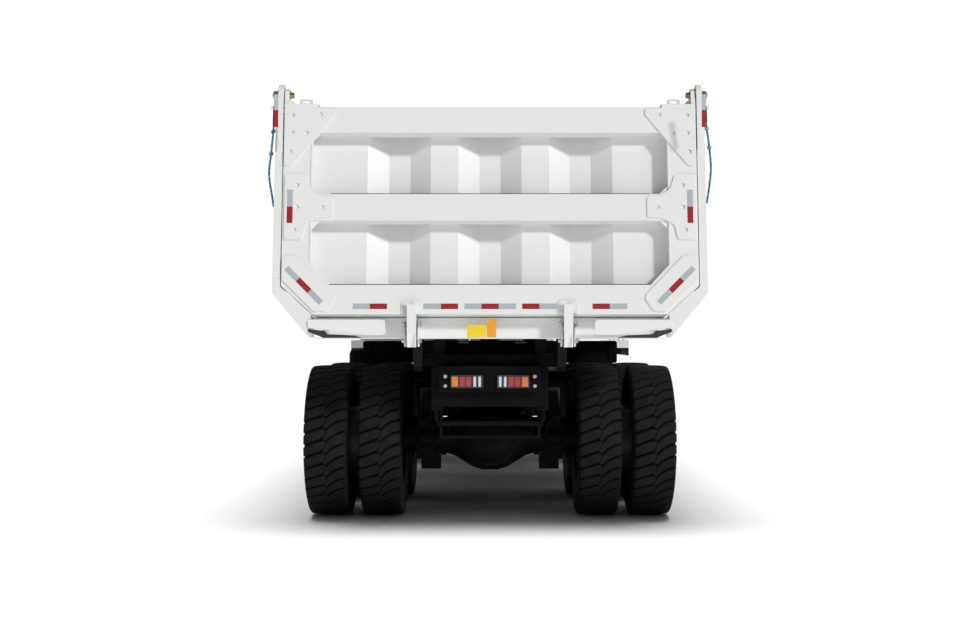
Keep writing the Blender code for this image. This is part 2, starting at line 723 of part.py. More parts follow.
def side_panel(side_name, side):
    """A side of the load space, with its ribs, rail, rear frame and hinge post."""
    wall_n = TAIL_DEPTH + 0.02
    low, out = CHAMFER_TOP - 0.02, WALL_INNER + SHEET
    wall = [
        (leaning_y(wall_n, low), low),
        (head_y(HEAD_BEND) + 0.02, low),
        (head_y(HEAD_BEND) + 0.02, HEAD_BEND),
        (head_y(BODY_TOP) + 0.02, BODY_TOP),
        (leaning_y(wall_n, BODY_TOP), BODY_TOP),
    ]
    ends = sorted((side * WALL_INNER, side * out))
    pieces = [plate(wall, "X", *ends)]
    edge = FLOOR_TOP - 0.015
    chamfer = [
        (WALL_INNER, CHAMFER_TOP + 0.01),
        (FLOOR_HALF, FLOOR_TOP + 0.01),
        (FLOOR_HALF, edge),
        (FLOOR_HALF + 0.015, edge),
        (out, CHAMFER_TOP - 0.01),
        (out, CHAMFER_TOP + 0.01),
    ]
    rear = leaning_y(wall_n, CHAMFER_TOP) + 0.02
    mirrored = [(side * x, z) for x, z in chamfer]
    pieces.append(plate(mirrored, "Y", rear, FLOOR_FRONT - TOUCH))
    # Rear frame round the tailgate, parallel to it
    pieces.append(pair((POST_INNER, 0.01, 0.22), (BODY_HALF, FRAME_DEPTH, 1.70), side, TAIL))
    web_low = (WALL_INNER + 0.004, wall_n + 0.004, 0.26)
    pieces.append(pair(web_low, (POST_INNER + 0.01, FRAME_DEPTH - 0.004, 1.69), side, TAIL))
    leg = [
        (POST_INNER, 0.30),
        (BODY_HALF, 0.30),
        (BODY_HALF, 0.18),
        (1.527, -0.145),
        (1.490, -0.145),
        (1.4755, 0.003),
        (POST_INNER, 0.2355),
    ]
    pieces.append(plate([(side * x, v) for x, v in leg], "Y", 0.006, FRAME_DEPTH + 0.004, TAIL))
    # Top rail
    rail_low = BODY_TOP - 0.14
    rail = [
        (leaning_y(RAIL_N, rail_low), rail_low),
        (head_y(rail_low) + 0.012, rail_low),
        (head_y(BODY_TOP) + 0.012, BODY_TOP + 0.002),
        (leaning_y(RAIL_N, BODY_TOP), BODY_TOP + 0.002),
    ]
    rail_ends = sorted((side * (WALL_INNER + 0.012), side * (BODY_HALF - 0.002)))
    pieces.append(plate(rail, "X", *rail_ends))
    # Ribs, with a foot that follows the chamfer
    start, end = leaning_y(FRAME_DEPTH, CHAMFER_TOP) + 0.55, 0.70
    for i in range(RIBS):
        y = start + i * (end - start) / (RIBS - 1)
        rib = [
            (WALL_INNER + 0.01, BODY_TOP - 0.08),
            (BODY_HALF - 0.03, BODY_TOP - 0.08),
            (BODY_HALF - 0.03, CHAMFER_TOP - 0.04),
            (FLOOR_HALF + 0.08, FLOOR_BOTTOM + 0.12),
            (FLOOR_HALF + 0.02, FLOOR_BOTTOM + 0.12),
            (FLOOR_HALF + 0.02, edge + 0.008),
            (WALL_INNER + 0.01, CHAMFER_TOP),
        ]
        rib_ends = (y - RIB_WIDTH / 2, y + RIB_WIDTH / 2)
        pieces.append(plate([(side * x, z) for x, z in rib], "Y", *rib_ends))
    # Hinge post with a rounded head round the tailgate's pin
    turns = [math.radians(a) for a in range(0, 181, 30)]
    head = [(HINGE_Y + 0.075 * math.cos(a), HINGE_Z + 0.087 * math.sin(a)) for a in turns]
    foot = [(-0.14, -0.47), (-0.06, -0.62), (0.10, -0.62), (0.16, -0.32)]
    foot = [(HINGE_Y + y, HINGE_Z + z) for y, z in foot]
    post_ends = sorted((side * POST_INNER, side * POST_OUTER))
    pieces.append(plate(head + foot, "X", *post_ends))
    start = (side * (POST_OUTER - 0.01), HINGE_Y, HINGE_Z)
    pieces.append(rod(start, (side * (BODY_HALF + 0.02), HINGE_Y, HINGE_Z), 0.030, 6))
    # Eye for the rope
    start = (side * (POST_OUTER - 0.01), ROPE_Y, RING_Z)
    pieces.append(rod(start, (side * (BODY_HALF + 0.045), ROPE_Y, RING_Z), RING_RADIUS, 10))
    return node(f"dump_side_{side_name}", WHITE, pieces, empty=BODY)


for side_name, side in SIDES:
    side_panel(side_name, side)


def dump_floor():
    half = FLOOR_HALF - TOUCH
    rear, front = leaning_y(TAIL_DEPTH, FLOOR_TOP) - 0.01, FLOOR_FRONT - TOUCH
    pieces = [block((-half, rear, FLOOR_TOP - 0.03), (half, front, FLOOR_TOP))]
    last = front - FLOOR_RIB - 0.05
    for i in range(FLOOR_RIBS):
        y = FLOOR_RIB_START + i * (last - FLOOR_RIB_START) / (FLOOR_RIBS - 1)
        low, high = (0.006 - half, y, FLOOR_BOTTOM), (half - 0.006, y + FLOOR_RIB, FLOOR_TOP - 0.01)
        pieces.append(block(low, high))
    # Sill under the tailgate, in three lengths whose lower edge steps up towards both ends
    steps = ((0.87, 0.003), (1.34, 0.030), (half + 0.025, 0.080))
    for i, (reach, rise) in enumerate(steps):
        low = (-reach, SILL_Y + i * 0.0005, FLOOR_BOTTOM + rise)
        pieces.append(block(low, (reach, SILL_Y + 0.20, FLOOR_TOP - 0.016 - i * 0.001)))
    for _, side in SIDES:
        # Long beams, which rest over the rails
        low = (RAIL_OUTER - RAIL_WIDTH, PIVOT_Y + 0.25, RAIL_HIGH + 0.02)
        pieces.append(pair(low, (RAIL_OUTER, front - 0.03, FLOOR_TOP - 0.015), side))
        # Hinge lugs
        turns = [math.radians(a) for a in range(180, 361, 30)]
        lug = [(PIVOT_Y + 0.10 * math.cos(a), PIVOT_Z + 0.10 * math.sin(a)) for a in turns]
        lug += [(PIVOT_Y + 0.20, FLOOR_BOTTOM + 0.03), (PIVOT_Y - 0.20, FLOOR_BOTTOM + 0.03)]
        ends = sorted((side * (0.58 + TOUCH), side * 0.66))
        pieces.append(plate(lug, "X", *ends))
        # Latch cheeks: each arm of the tailgate drops between two of them
        inside = ARM_HALF + LATCH_GAP
        for sign in (-1, 1):
            near = side * LATCH_X + sign * inside
            ends = sorted((near, near + sign * CHEEK))
            cheek = [
                (SILL_Y + 0.01, 1.75),
                (SILL_Y - 0.10, 1.75),
                (SILL_Y - 0.15, 1.64),
                (SILL_Y - 0.13, 1.545),
                (SILL_Y - 0.05, 1.545),
                (SILL_Y + 0.01, 1.63),
            ]
            pieces.append(plate(cheek, "X", *ends))
    block_low = (-0.70, PIVOT_Y - 0.22, FLOOR_BOTTOM + 0.003)
    pieces.append(block(block_low, (0.70, PIVOT_Y + 0.22, FLOOR_TOP - 0.02)))
    return node("dump_floor", WHITE, pieces, empty=BODY)


dump_floor()


def headboard():
    half = WALL_INNER - TOUCH
    low = FLOOR_BOTTOM + 0.01
    face = [(head_y(z), z) for z in (low, HEAD_BEND, BODY_TOP)]
    front = [(y + 0.025, z) for y, z in reversed(face)]
    pieces = [plate(face + front, "X", -half, half)]
    stiff = [(head_y(z) + 0.012, z) for z in (low + 0.03, HEAD_BEND, BODY_TOP - 0.02)]
    outer = [(y + 0.09, z) for y, z in reversed(stiff)]
    for x in (-1.05, -0.36, 0.36, 1.05):
        pieces.append(plate(stiff + outer, "X", x - 0.04, x + 0.04))
    top = BODY_TOP - 0.001
    bottom, out = top - 0.14, head_y(top) + 0.11
    beam = [(head_y(top) + 0.015, top), (out, top), (out, bottom), (head_y(bottom) + 0.015, bottom)]
    pieces.append(plate(beam, "X", -half + 0.004, half - 0.004))
    cheek = [
        (head_y(2.84) + 0.01, 2.84),
        (EYE_Y + 0.06, EYE_Z - 0.09),
        (EYE_Y + 0.07, EYE_Z + 0.03),
        (EYE_Y, EYE_Z + 0.09),
        (head_y(3.36) + 0.01, 3.36),
    ]
    for _, side in SIDES:
        ends = sorted((side * (EYE_HALF + TOUCH), side * (EYE_HALF + 0.035)))
        pieces.append(plate(cheek, "X", *ends))
    cuts = []
    for _, side in SIDES:
        corner = [(1.467, 1.78), (1.467, 1.40), (1.90, 1.40), (1.90, 2.213)]
        cuts.append(plate([(side * x, z) for x, z in corner], "Y", 0.5, 1.9))
    return node("dump_headboard", WHITE, pieces, cuts, empty=BODY)


headboard()


def canopy():
    """The rock guard over the cab, joined to the headboard's top edge."""
    bottom = BODY_TOP + TOUCH
    rear, bend = HEAD_TOP_Y - 0.06, HEAD_TOP_Y + 0.32
    slope_z = CANOPY_HEIGHT - 0.24
    sheet = [
        (rear, bottom),
        (rear + 0.18, bottom),
        (bend, slope_z),
        (CANOPY_FRONT, CANOPY_HEIGHT),
        (CANOPY_FRONT, CANOPY_HEIGHT + 0.025),
        (bend - 0.01, slope_z + 0.025),
        (rear, bottom + 0.045),
    ]
    pieces = [plate(sheet, "X", -CANOPY_HALF, CANOPY_HALF)]
    rib = [
        (rear + 0.10, bottom + 0.02),
        (bend, slope_z + 0.01),
        (CANOPY_FRONT - 0.02, CANOPY_HEIGHT + 0.01),
        (CANOPY_FRONT - 0.02, CANOPY_HEIGHT + 0.07),
        (bend - 0.03, slope_z + 0.09),
        (rear + 0.02, bottom + 0.06),
    ]
    for x in (-1.25, -0.42, 0.42, 1.25):
        pieces.append(plate(rib, "X", x - 0.04, x + 0.04))
    lip = [
        (rear + 0.17, bottom + 0.03),
        (bend, slope_z - 0.09),
        (CANOPY_FRONT - 0.001, CANOPY_HEIGHT - 0.09),
        (CANOPY_FRONT - 0.001, CANOPY_HEIGHT + 0.015),
        (bend, slope_z + 0.012),
        (rear + 0.10, bottom + 0.04),
    ]
    for _, side in SIDES:
        ends = sorted((side * (CANOPY_HALF - 0.025), side * (CANOPY_HALF - 0.001)))
        pieces.append(plate(lip, "X", *ends))
    pieces.append(block(
        (-CANOPY_HALF + 0.01, CANOPY_FRONT - 0.06, CANOPY_HEIGHT - 0.09),
        (CANOPY_HALF - 0.01, CANOPY_FRONT - 0.002, CANOPY_HEIGHT + 0.012),
    ))
    return node("cab_canopy", WHITE, pieces, empty=BODY)


canopy()


# ---- tailgate ---------------------------------------------------------------

GATE = pivot("tailgate_pivot", (0, HINGE_Y, HINGE_Z))
GATE.parent = BODY
GATE.matrix_parent_inverse = Matrix.Translation(BODY.location).inverted()
BEAMS = ((0.0, 0.248), (0.790, 1.016), (1.542, TAIL_HEIGHT))


def tailgate_frame():
    half, inner = TAIL_HALF, TAIL_POST_INNER
    pieces = []
    (chamfer_x, chamfer_v), (foot_x, foot_v) = TAIL_CHAMFER
    for low, high in BEAMS:
        reach = inner + 0.02 if low > foot_v else foot_x - 0.02
        pieces.append(block((-reach, 0, low), (reach, BEAM_DEPTH, high), TAIL))
    for _, side in SIDES:
        post = [
            (foot_x - 0.011, 0.001),
            (chamfer_x, chamfer_v),
            (half, TAIL_HEIGHT - 0.001),
            (inner, TAIL_HEIGHT - 0.001),
            (inner, 0.42),
            (inner - 0.17, 0.235),
            (inner - 0.17, 0.001),
        ]
        pieces.append(plate([(side * x, v) for x, v in post], "Y", 0.001, BEAM_DEPTH - 0.001, TAIL))
        # Closing angles beside the panel's edge
        edge_x = inner + 0.04
        edge_low = (edge_x, BEAM_DEPTH - 0.01, 0.30)
        pieces.append(pair(edge_low, (WALL_INNER - 0.004, TAIL_DEPTH, 1.72), side, TAIL))
        # Ear, gusset and pin
        ear = [
            (HINGE_Y - 0.10, 3.50),
            (HINGE_Y - 0.05, HINGE_Z + 0.03),
            (HINGE_Y, HINGE_Z + 0.055),
            (HINGE_Y + 0.05, HINGE_Z + 0.03),
            (HINGE_Y + 0.07, 3.50),
        ]
        ends = sorted((side * 1.69, side * 1.7255))
        pieces.append(plate(ear, "X", *ends))
        flange_low = (1.44, HINGE_Y - 0.09, 3.548)
        pieces.append(pair(flange_low, (1.7245, HINGE_Y + 0.06, 3.582), side))
        start = (side * 1.70, HINGE_Y, HINGE_Z)
        pieces.append(rod(start, (side * (POST_INNER - TOUCH), HINGE_Y, HINGE_Z), 0.022, 12))
        # Latch arm
        x = side * LATCH_X
        arm = [
            (TAIL_REAR - 0.045, 1.895),
            (TAIL_REAR + 0.05, 1.895),
            (TAIL_REAR + 0.05, 1.835),
            (SILL_Y - 0.095, 1.780),
            (SILL_Y - 0.075, 1.66),
            (SILL_Y - 0.095, 1.54),
            (TAIL_REAR - 0.01, 1.54),
            (TAIL_REAR - 0.045, 1.66),
        ]
        pieces.append(plate(arm, "X", x - ARM_HALF, x + ARM_HALF))
    return node("tailgate_frame", WHITE, pieces, empty=GATE)


tailgate_frame()


def tailgate_panel():
    """A sheet of shallow trapezoid corrugations that lies against the beams."""
    flat, deep = 0.117, 0.09  # half widths of a near flat and of a deep one
    near_n, sheet = BEAM_DEPTH + TOUCH, 0.012
    limit = TAIL_POST_INNER + 0.04 - TOUCH
    first, second = 0.5 * CORRUGATION_PITCH, 1.5 * CORRUGATION_PITCH
    half = [
        (deep, near_n + PANEL_STEP),
        (first - flat, near_n),
        (first + flat, near_n),
        (CORRUGATION_PITCH - deep, near_n + PANEL_STEP),
        (CORRUGATION_PITCH + deep, near_n + PANEL_STEP),
        (second - flat, near_n),
        (limit, near_n),
    ]
    near = [(-x, n) for x, n in reversed(half)] + half
    far = [(x, n + sheet) for x, n in reversed(near)]
    low, high = 0.04, TAIL_HEIGHT - 0.03
    # The outline lies in x and n, so it is extruded up the leaning tailgate.
    pieces = [plate(near + far, "Z", low, high, TAIL)]
    cuts = []
    for _, side in SIDES:
        corner = [(1.26, 0.0), (1.60, 0.32), (1.80, 0.32), (1.80, -0.10), (1.26, -0.10)]
        cuts.append(plate([(side * x, v) for x, v in corner], "Y", 0.05, 0.40, TAIL))
    return node("tailgate_panel", WHITE, pieces, cuts, empty=GATE)


tailgate_panel()


# ---- hoist ------------------------------------------------------------------


def hoist():
    """A telescopic cylinder: barrel on a trunnion, and three stages, one in another."""
    base = Vector((0, HOIST_Y, HOIST_Z))
    eye = Vector((0, EYE_Y, EYE_Z))
    along = (eye - base).normalized()
    turn = along.to_track_quat("Z", "Y").to_matrix().to_4x4()
    frame = Matrix.Translation(base) @ turn
    length = (eye - base).length
    tops = (length - 0.37, length - 0.34, length - 0.31, length)
    wall = 0.014
    barrel = pivot("hoist_pivot", base)
    outer = BARREL_RADIUS
    inner = outer - wall
    # The barrel's foot is rounded, so that it clears the cross-member as the hoist leans.
    profile = [
        (0, 0.03),
        (inner, 0.03),
        (inner, tops[0]),
        (outer, tops[0]),
        (outer, 0.0),
        (0.07, -0.05),
        (0, -0.05),
    ]
    tube = turned(profile, frame, 24)
    pin = rod((-TRUNNION_HALF, HOIST_Y, HOIST_Z), (TRUNNION_HALF, HOIST_Y, HOIST_Z), 0.045, 16)
    node("hoist_barrel", BLACK, [tube, pin], empty=barrel, smooth=35)
    bottom = 0.05
    for i in (1, 2, 3):
        outer = inner - TOUCH
        inner = outer - wall
        bottom += 0.01
        if i < 3:
            profile = [(inner, bottom), (outer, bottom), (outer, tops[i]), (inner, tops[i])]
            piece = turned(profile[::-1], frame, 24, ring=True)
            node(f"hoist_stage_{i}", CHROME, [piece], empty=barrel, smooth=35)
            continue
        end = tops[i] - 0.03
        profile = [
            (0, end),
            (ROD_RADIUS, end),
            (ROD_RADIUS, tops[2] + 0.015),
            (outer, tops[2] + 0.005),
            (outer, bottom),
            (0, bottom),
        ]
        piece = turned(profile, frame, 24)
        eye_ends = ((-EYE_HALF, EYE_Y, EYE_Z), (EYE_HALF, EYE_Y, EYE_Z))
        node("hoist_rod", CHROME, [piece, rod(*eye_ends, 0.07, 16)], empty=barrel, smooth=35)


hoist()


# ---- cab --------------------------------------------------------------------

WINDOW_LOW, WINDOW_HIGH = 2.36, 3.10
SCREEN_LOW, SCREEN_HIGH = 2.24, 3.16
REAR_LOW = 2.42
SCREEN_EDGE, REAR_EDGE, PILLAR = 0.10, 0.22, 0.10
SEAT_X = -1.10
COLUMN_FOOT = (SEAT_X, CAB_FRONT - 0.30, 2.10)
WHEEL_HUB = (SEAT_X, CAB_FRONT - 0.56, 2.42)
GLASS_SEAT = 0.02  # how far the glass sits inside the outer skin
HINGE_RADIUS = 0.014
HINGE_LEVELS = (1.95, 2.95)
DOOR_HINGE = (CAB_LEFT - HINGE_RADIUS - 0.001, DOOR_FRONT + PLAY / 2)


def cab_shell():
    wall = CAB_WALL
    body = block((CAB_LEFT, CAB_REAR, CAB_FLOOR), (CAB_RIGHT, CAB_FRONT, CAB_TOP))
    inside = block(
        (CAB_LEFT + wall, CAB_REAR + wall, CAB_FLOOR + wall),
        (CAB_RIGHT - wall, CAB_FRONT - wall, CAB_TOP - wall),
    )
    edge = body.modifiers.new("edges", "BEVEL")
    edge.width = 0.045
    edge.segments = 2
    edge.limit_method = "ANGLE"
    pieces = [body]
    cuts = [inside]
    left_out, right_out = CAB_LEFT - 0.1, CAB_RIGHT + 0.1
    # Windscreen and rear window
    cuts.append(block(
        (CAB_LEFT + SCREEN_EDGE, CAB_FRONT - 0.2, SCREEN_LOW),
        (CAB_RIGHT - SCREEN_EDGE, CAB_FRONT + 0.1, SCREEN_HIGH),
    ))
    cuts.append(block(
        (CAB_LEFT + REAR_EDGE, CAB_REAR - 0.1, REAR_LOW),
        (CAB_RIGHT - REAR_EDGE, CAB_REAR + 0.2, WINDOW_HIGH),
    ))
    # Door opening and the window in the right wall
    cuts.append(block(
        (left_out, DOOR_REAR - PLAY, DOOR_BOTTOM - PLAY),
        (CAB_LEFT + 0.2, DOOR_FRONT + PLAY, DOOR_TOP + PLAY),
    ))
    cuts.append(block(
        (CAB_RIGHT - 0.2, DOOR_REAR + PILLAR, WINDOW_LOW),
        (right_out, DOOR_FRONT + PILLAR, WINDOW_HIGH),
    ))
    # Hinge leaves on the front door post
    hinge_x, hinge_y = DOOR_HINGE
    hinges = []
    for z in HINGE_LEVELS:
        top = z + 0.07
        hinges.append(rod((hinge_x, hinge_y, z), (hinge_x, hinge_y, top), HINGE_RADIUS, 12))
        hinges.append(block((hinge_x - 0.004, hinge_y, z), (CAB_LEFT + 0.02, hinge_y + 0.06, top)))
    # Dash and steering column
    left, right, front = CAB_LEFT + wall - 0.01, CAB_RIGHT - wall + 0.01, CAB_FRONT - wall + 0.01
    dash = block((left, DOOR_FRONT + 0.03, 2.02), (right, front, 2.22))
    panel = block((left, CAB_FRONT - 0.20, CAB_FLOOR + 0.04), (right, front, 2.05))
    column = rod(COLUMN_FOOT, WHEEL_HUB, 0.03, 12)
    shell = node("cab_shell", WHITE, pieces, cuts)
    for extra in (*hinges, dash, panel, column):
        join = shell.modifiers.new("union", "BOOLEAN")
        join.operation = "UNION"
        join.object = extra
    return shell


cab_shell()


def cab_door():
    hinge_x, hinge_y = DOOR_HINGE
    body = block((CAB_LEFT, DOOR_REAR, DOOR_BOTTOM), (CAB_LEFT + CAB_WALL, DOOR_FRONT, DOOR_TOP))
    pieces = [body]
    for z in HINGE_LEVELS:
        high = z - TOUCH
        low = high - 0.06
        pieces.append(rod((hinge_x, hinge_y, low), (hinge_x, hinge_y, high), HINGE_RADIUS, 12))
        leaf_low = (hinge_x - 0.004, hinge_y - 0.07, low)
        pieces.append(block(leaf_low, (CAB_LEFT + 0.012, hinge_y, high)))
    # Handle
    x, y, z = CAB_LEFT, DOOR_REAR + 0.07, 2.195
    for foot in (y + 0.01, y + 0.13):
        pieces.append(block((x - 0.035, foot, z + 0.005), (x + 0.01, foot + 0.02, z + 0.035)))
    pieces.append(block((x - 0.05, y, z), (x - 0.03, y + 0.16, z + 0.04)))
    rear, front = DOOR_REAR + PILLAR, DOOR_FRONT - PILLAR
    window = block((CAB_LEFT - 0.1, rear, WINDOW_LOW), (CAB_LEFT + 0.1, front, WINDOW_HIGH))
    empty = pivot("cab_door_hinge", (hinge_x, hinge_y, DOOR_BOTTOM))
    node("cab_door", WHITE, pieces, [window], empty=empty)
    glass_low = (CAB_LEFT + GLASS_SEAT, rear + TOUCH, WINDOW_LOW + TOUCH)
    glass_high = (CAB_LEFT + GLASS_SEAT + GLASS, front - TOUCH, WINDOW_HIGH - TOUCH)
    node("door_glass", CLEAR, [block(glass_low, glass_high)], empty=empty)


cab_door()


def cab_glass():
    node("windscreen", CLEAR, [block(
        (CAB_LEFT + SCREEN_EDGE + TOUCH, CAB_FRONT - GLASS_SEAT - GLASS, SCREEN_LOW + TOUCH),
        (CAB_RIGHT - SCREEN_EDGE - TOUCH, CAB_FRONT - GLASS_SEAT, SCREEN_HIGH - TOUCH),
    )])
    node("rear_window", CLEAR, [block(
        (CAB_LEFT + REAR_EDGE + TOUCH, CAB_REAR + GLASS_SEAT, REAR_LOW + TOUCH),
        (CAB_RIGHT - REAR_EDGE - TOUCH, CAB_REAR + GLASS_SEAT + GLASS, WINDOW_HIGH - TOUCH),
    )])
    node("right_window", CLEAR, [block(
        (CAB_RIGHT - GLASS_SEAT - GLASS, DOOR_REAR + PILLAR + TOUCH, WINDOW_LOW + TOUCH),
        (CAB_RIGHT - GLASS_SEAT, DOOR_FRONT + PILLAR - TOUCH, WINDOW_HIGH - TOUCH),
    )])


cab_glass()


def cab_inside():
    floor = CAB_FLOOR + CAB_WALL + TOUCH
    y = CAB_REAR + CAB_WALL + 0.14
    pieces = [
        block((SEAT_X - 0.16, y + 0.06, floor), (SEAT_X + 0.16, y + 0.40, floor + 0.36)),
        block((SEAT_X - 0.26, y + 0.02, floor + 0.34), (SEAT_X + 0.26, y + 0.54, floor + 0.48)),
        block((SEAT_X - 0.25, y - 0.08, floor + 0.38), (SEAT_X + 0.25, y + 0.06, floor + 1.08)),
        block((SEAT_X - 0.13, y - 0.06, floor + 1.00), (SEAT_X + 0.13, y + 0.03, floor + 1.26)),
    ]
    node("driver_seat", FABRIC, pieces)
    hub = Vector(WHEEL_HUB)
    along = (hub - Vector(COLUMN_FOOT)).normalized()
    turn = along.to_track_quat("Z", "Y").to_matrix().to_4x4()
    frame = Matrix.Translation(hub + along * (0.02 + TOUCH)) @ turn
    ring = [
        (0.215 + 0.014 * math.cos(math.radians(a)), 0.014 * math.sin(math.radians(a)))
        for a in range(90, -270, -60)
    ]
    rim = turned(ring, frame, 24, ring=True)
    spokes = []
    for a in (90, 210, 330):
        reach = frame @ Matrix.Rotation(math.radians(a), 4, "Z")
        spokes.append(block((-0.006, -0.014, -0.006), (0.216, 0.014, 0.006), reach))
    hub_piece = rod(frame @ Vector((0, 0, -0.02)), frame @ Vector((0, 0, 0.02)), 0.045, 12)
    node("steering_wheel", PLASTIC, [rim, hub_piece, *spokes])


cab_inside()


# ---- hood, deck, handrail and ladder ----------------------------------------


def hood():
    wall, low = 0.02, RAIL_HIGH + 0.04
    body = block((HOOD_LEFT, HOOD_REAR, low), (HOOD_RIGHT, HOOD_FRONT, HOOD_TOP))
    edge = body.modifiers.new("edges", "BEVEL")
    edge.width = 0.06
    edge.segments = 2
    edge.limit_method = "ANGLE"
    inside = block(
        (HOOD_LEFT + wall, HOOD_REAR + wall, low - 0.2),
        (HOOD_RIGHT - wall, HOOD_FRONT - wall, HOOD_TOP - wall),
    )
    return node("engine_hood", WHITE, [body], [inside])


hood()


def front_deck():
    """The platform round the hood and under the cab, on outriggers from the rails."""
    low, foot = DECK_TOP - DECK_THICK, RAIL_HIGH + TOUCH
    left, right, notch = HOOD_LEFT - TOUCH, HOOD_RIGHT + TOUCH, HOOD_REAR - TOUCH
    sheet = [
        (-DECK_HALF, DECK_REAR), (DECK_HALF, DECK_REAR), (DECK_HALF, DECK_FRONT), (right, DECK_FRONT),
        (right, notch), (left, notch), (left, DECK_FRONT), (-DECK_HALF, DECK_FRONT),
    ]
    pieces = [plate(sheet, "Z", low, DECK_TOP)]
    for _, side in SIDES:
        for y in (DECK_REAR + 0.02, 3.30, DECK_FRONT - 0.14):
            beside_hood = side > 0 and y > HOOD_REAR
            inner, front = HOOD_RIGHT + 0.02 if beside_hood else 0.42, y + 0.10
            pieces.append(pair((inner, y, low - 0.08), (DECK_HALF - 0.10, front, low + 0.01), side))
            foot_top = low - 0.08 if beside_hood else low - 0.01
            pieces.append(pair((0.41, y, foot), (0.49, front, foot_top), side))
            if beside_hood:
                # A strut from the rail, out under the hood's edge and up to the outrigger
                pieces.append(pair((0.41, y, foot), (inner + 0.10, front, foot + 0.036), side))
                pieces.append(pair((inner + 0.02, y, foot + 0.01), (inner + 0.10, front, low), side))
        edge = (DECK_HALF - 0.02, DECK_REAR, low - 0.10)
        pieces.append(pair(edge, (DECK_HALF, DECK_FRONT, low + 0.01), side))
    return node("front_deck", BLACK, pieces)


front_deck()


def handrail():
    """Rails round the right-hand deck."""
    floor, top, r = DECK_TOP + TOUCH, DECK_TOP + 0.95, 0.019
    x, end = 1.74, DECK_FRONT - 0.06
    ys = [DECK_REAR + 0.06 + i * (end - DECK_REAR - 0.06) / 3 for i in range(4)]
    pieces = []
    for y in ys:
        pieces.append(rod((x, y, floor), (x, y, top), r, 8))
    for px in (1.28, 0.90):
        pieces.append(rod((px, end, floor), (px, end, top), r, 8))
    for z in (top - 0.025, DECK_TOP + 0.50):
        pieces.append(rod((x, ys[0], z), (x, end, z), 0.014, 8))
        pieces.append(rod((x, end, z), (0.90, end, z), 0.011, 8))
    return node("handrail", WHITE, pieces)


handrail()


def ladder():
    """Steps below the cab door, hung from the deck's edge."""
    low, top = 0.52, DECK_TOP - DECK_THICK - 0.10 - TOUCH
    rear, front, x = 3.36, 3.86, -DECK_HALF
    pieces = []
    for y in (rear, front):
        pieces.append(block((x, y, low), (x + 0.09, y + 0.012, top)))
    for i in range(3):
        z = low + 0.05 + i * (top - low - 0.1) / 2.5
        pieces.append(block((x + 0.004, rear + 0.004, z), (x + 0.16, front + 0.008, z + 0.03)))
    pieces.append(block((x + 0.02, rear - 0.02, top - 0.03), (x + 0.10, front + 0.03, top)))
    return node("cab_ladder", BLACK, pieces)


ladder()


# ---- ropes ------------------------------------------------------------------

# Each rope hangs from its ring: X and Z of the points that it passes.
ROPES = {
    "left": ((-1.817, 3.535), (-1.820, 3.44), (-1.824, 3.353), (-1.834, 3.26), (-1.842, 3.165),
             (-1.853, 3.09), (-1.860, 3.009), (-1.853, 2.918), (-1.836, 2.818), (-1.822, 2.72)),
    "right": ((1.817, 3.535), (1.819, 3.46), (1.824, 3.38), (1.836, 3.30), (1.846, 3.22),
              (1.855, 3.13), (1.860, 3.04), (1.852, 2.94), (1.838, 2.84), (1.824, 2.75)),
}


def rope_points(route):
    """Points every 30 mm on a smooth curve through the route."""
    places = [Vector((x, ROPE_Y, z)) for x, z in route]
    places[0].z = RING_Z - RING_RADIUS - TOUCH
    smooth = []
    for i in range(len(places) - 1):
        before, after = places[max(i - 1, 0)], places[min(i + 2, len(places) - 1)]
        start, end = places[i], places[i + 1]
        leave, arrive = (end - before) / 2, (after - start) / 2
        for step in range(3):
            t = step / 3
            smooth.append(
                start * (2 * t**3 - 3 * t**2 + 1)
                + leave * (t**3 - 2 * t**2 + t)
                + end * (3 * t**2 - 2 * t**3)
                + arrive * (t**3 - t**2)
            )
    return [*smooth, places[-1]]


for side_name, _ in SIDES:
    line = bpy.data.curves.new(f"rope_{side_name}", "CURVE")
    line.dimensions = "3D"
    line.bevel_depth = ROPE_RADIUS
    line.bevel_resolution = 2
    line.use_fill_caps = True
    line.materials.append(ROPE)
    spline = line.splines.new("POLY")
    points = rope_points(ROPES[side_name])
    spline.points.add(len(points) - 1)
    for point, place in zip(spline.points, points):
        point.co = (*place, 1)
    rope = bpy.data.objects.new(f"rope_{side_name}", line)
    TRUCK.objects.link(rope)
    rope.parent = BODY
    rope.matrix_parent_inverse = Matrix.Translation(BODY.location).inverted()
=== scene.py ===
"""Mining dump truck: paint, rubber, glass, marking tape and small parts, built round its solid frame.

Metres, +X the truck's right, +Y forward, +Z up, with the origin on the ground under the truck's middle.
"""

import json
import math

import bmesh
import bpy
from mathutils import Matrix, Vector


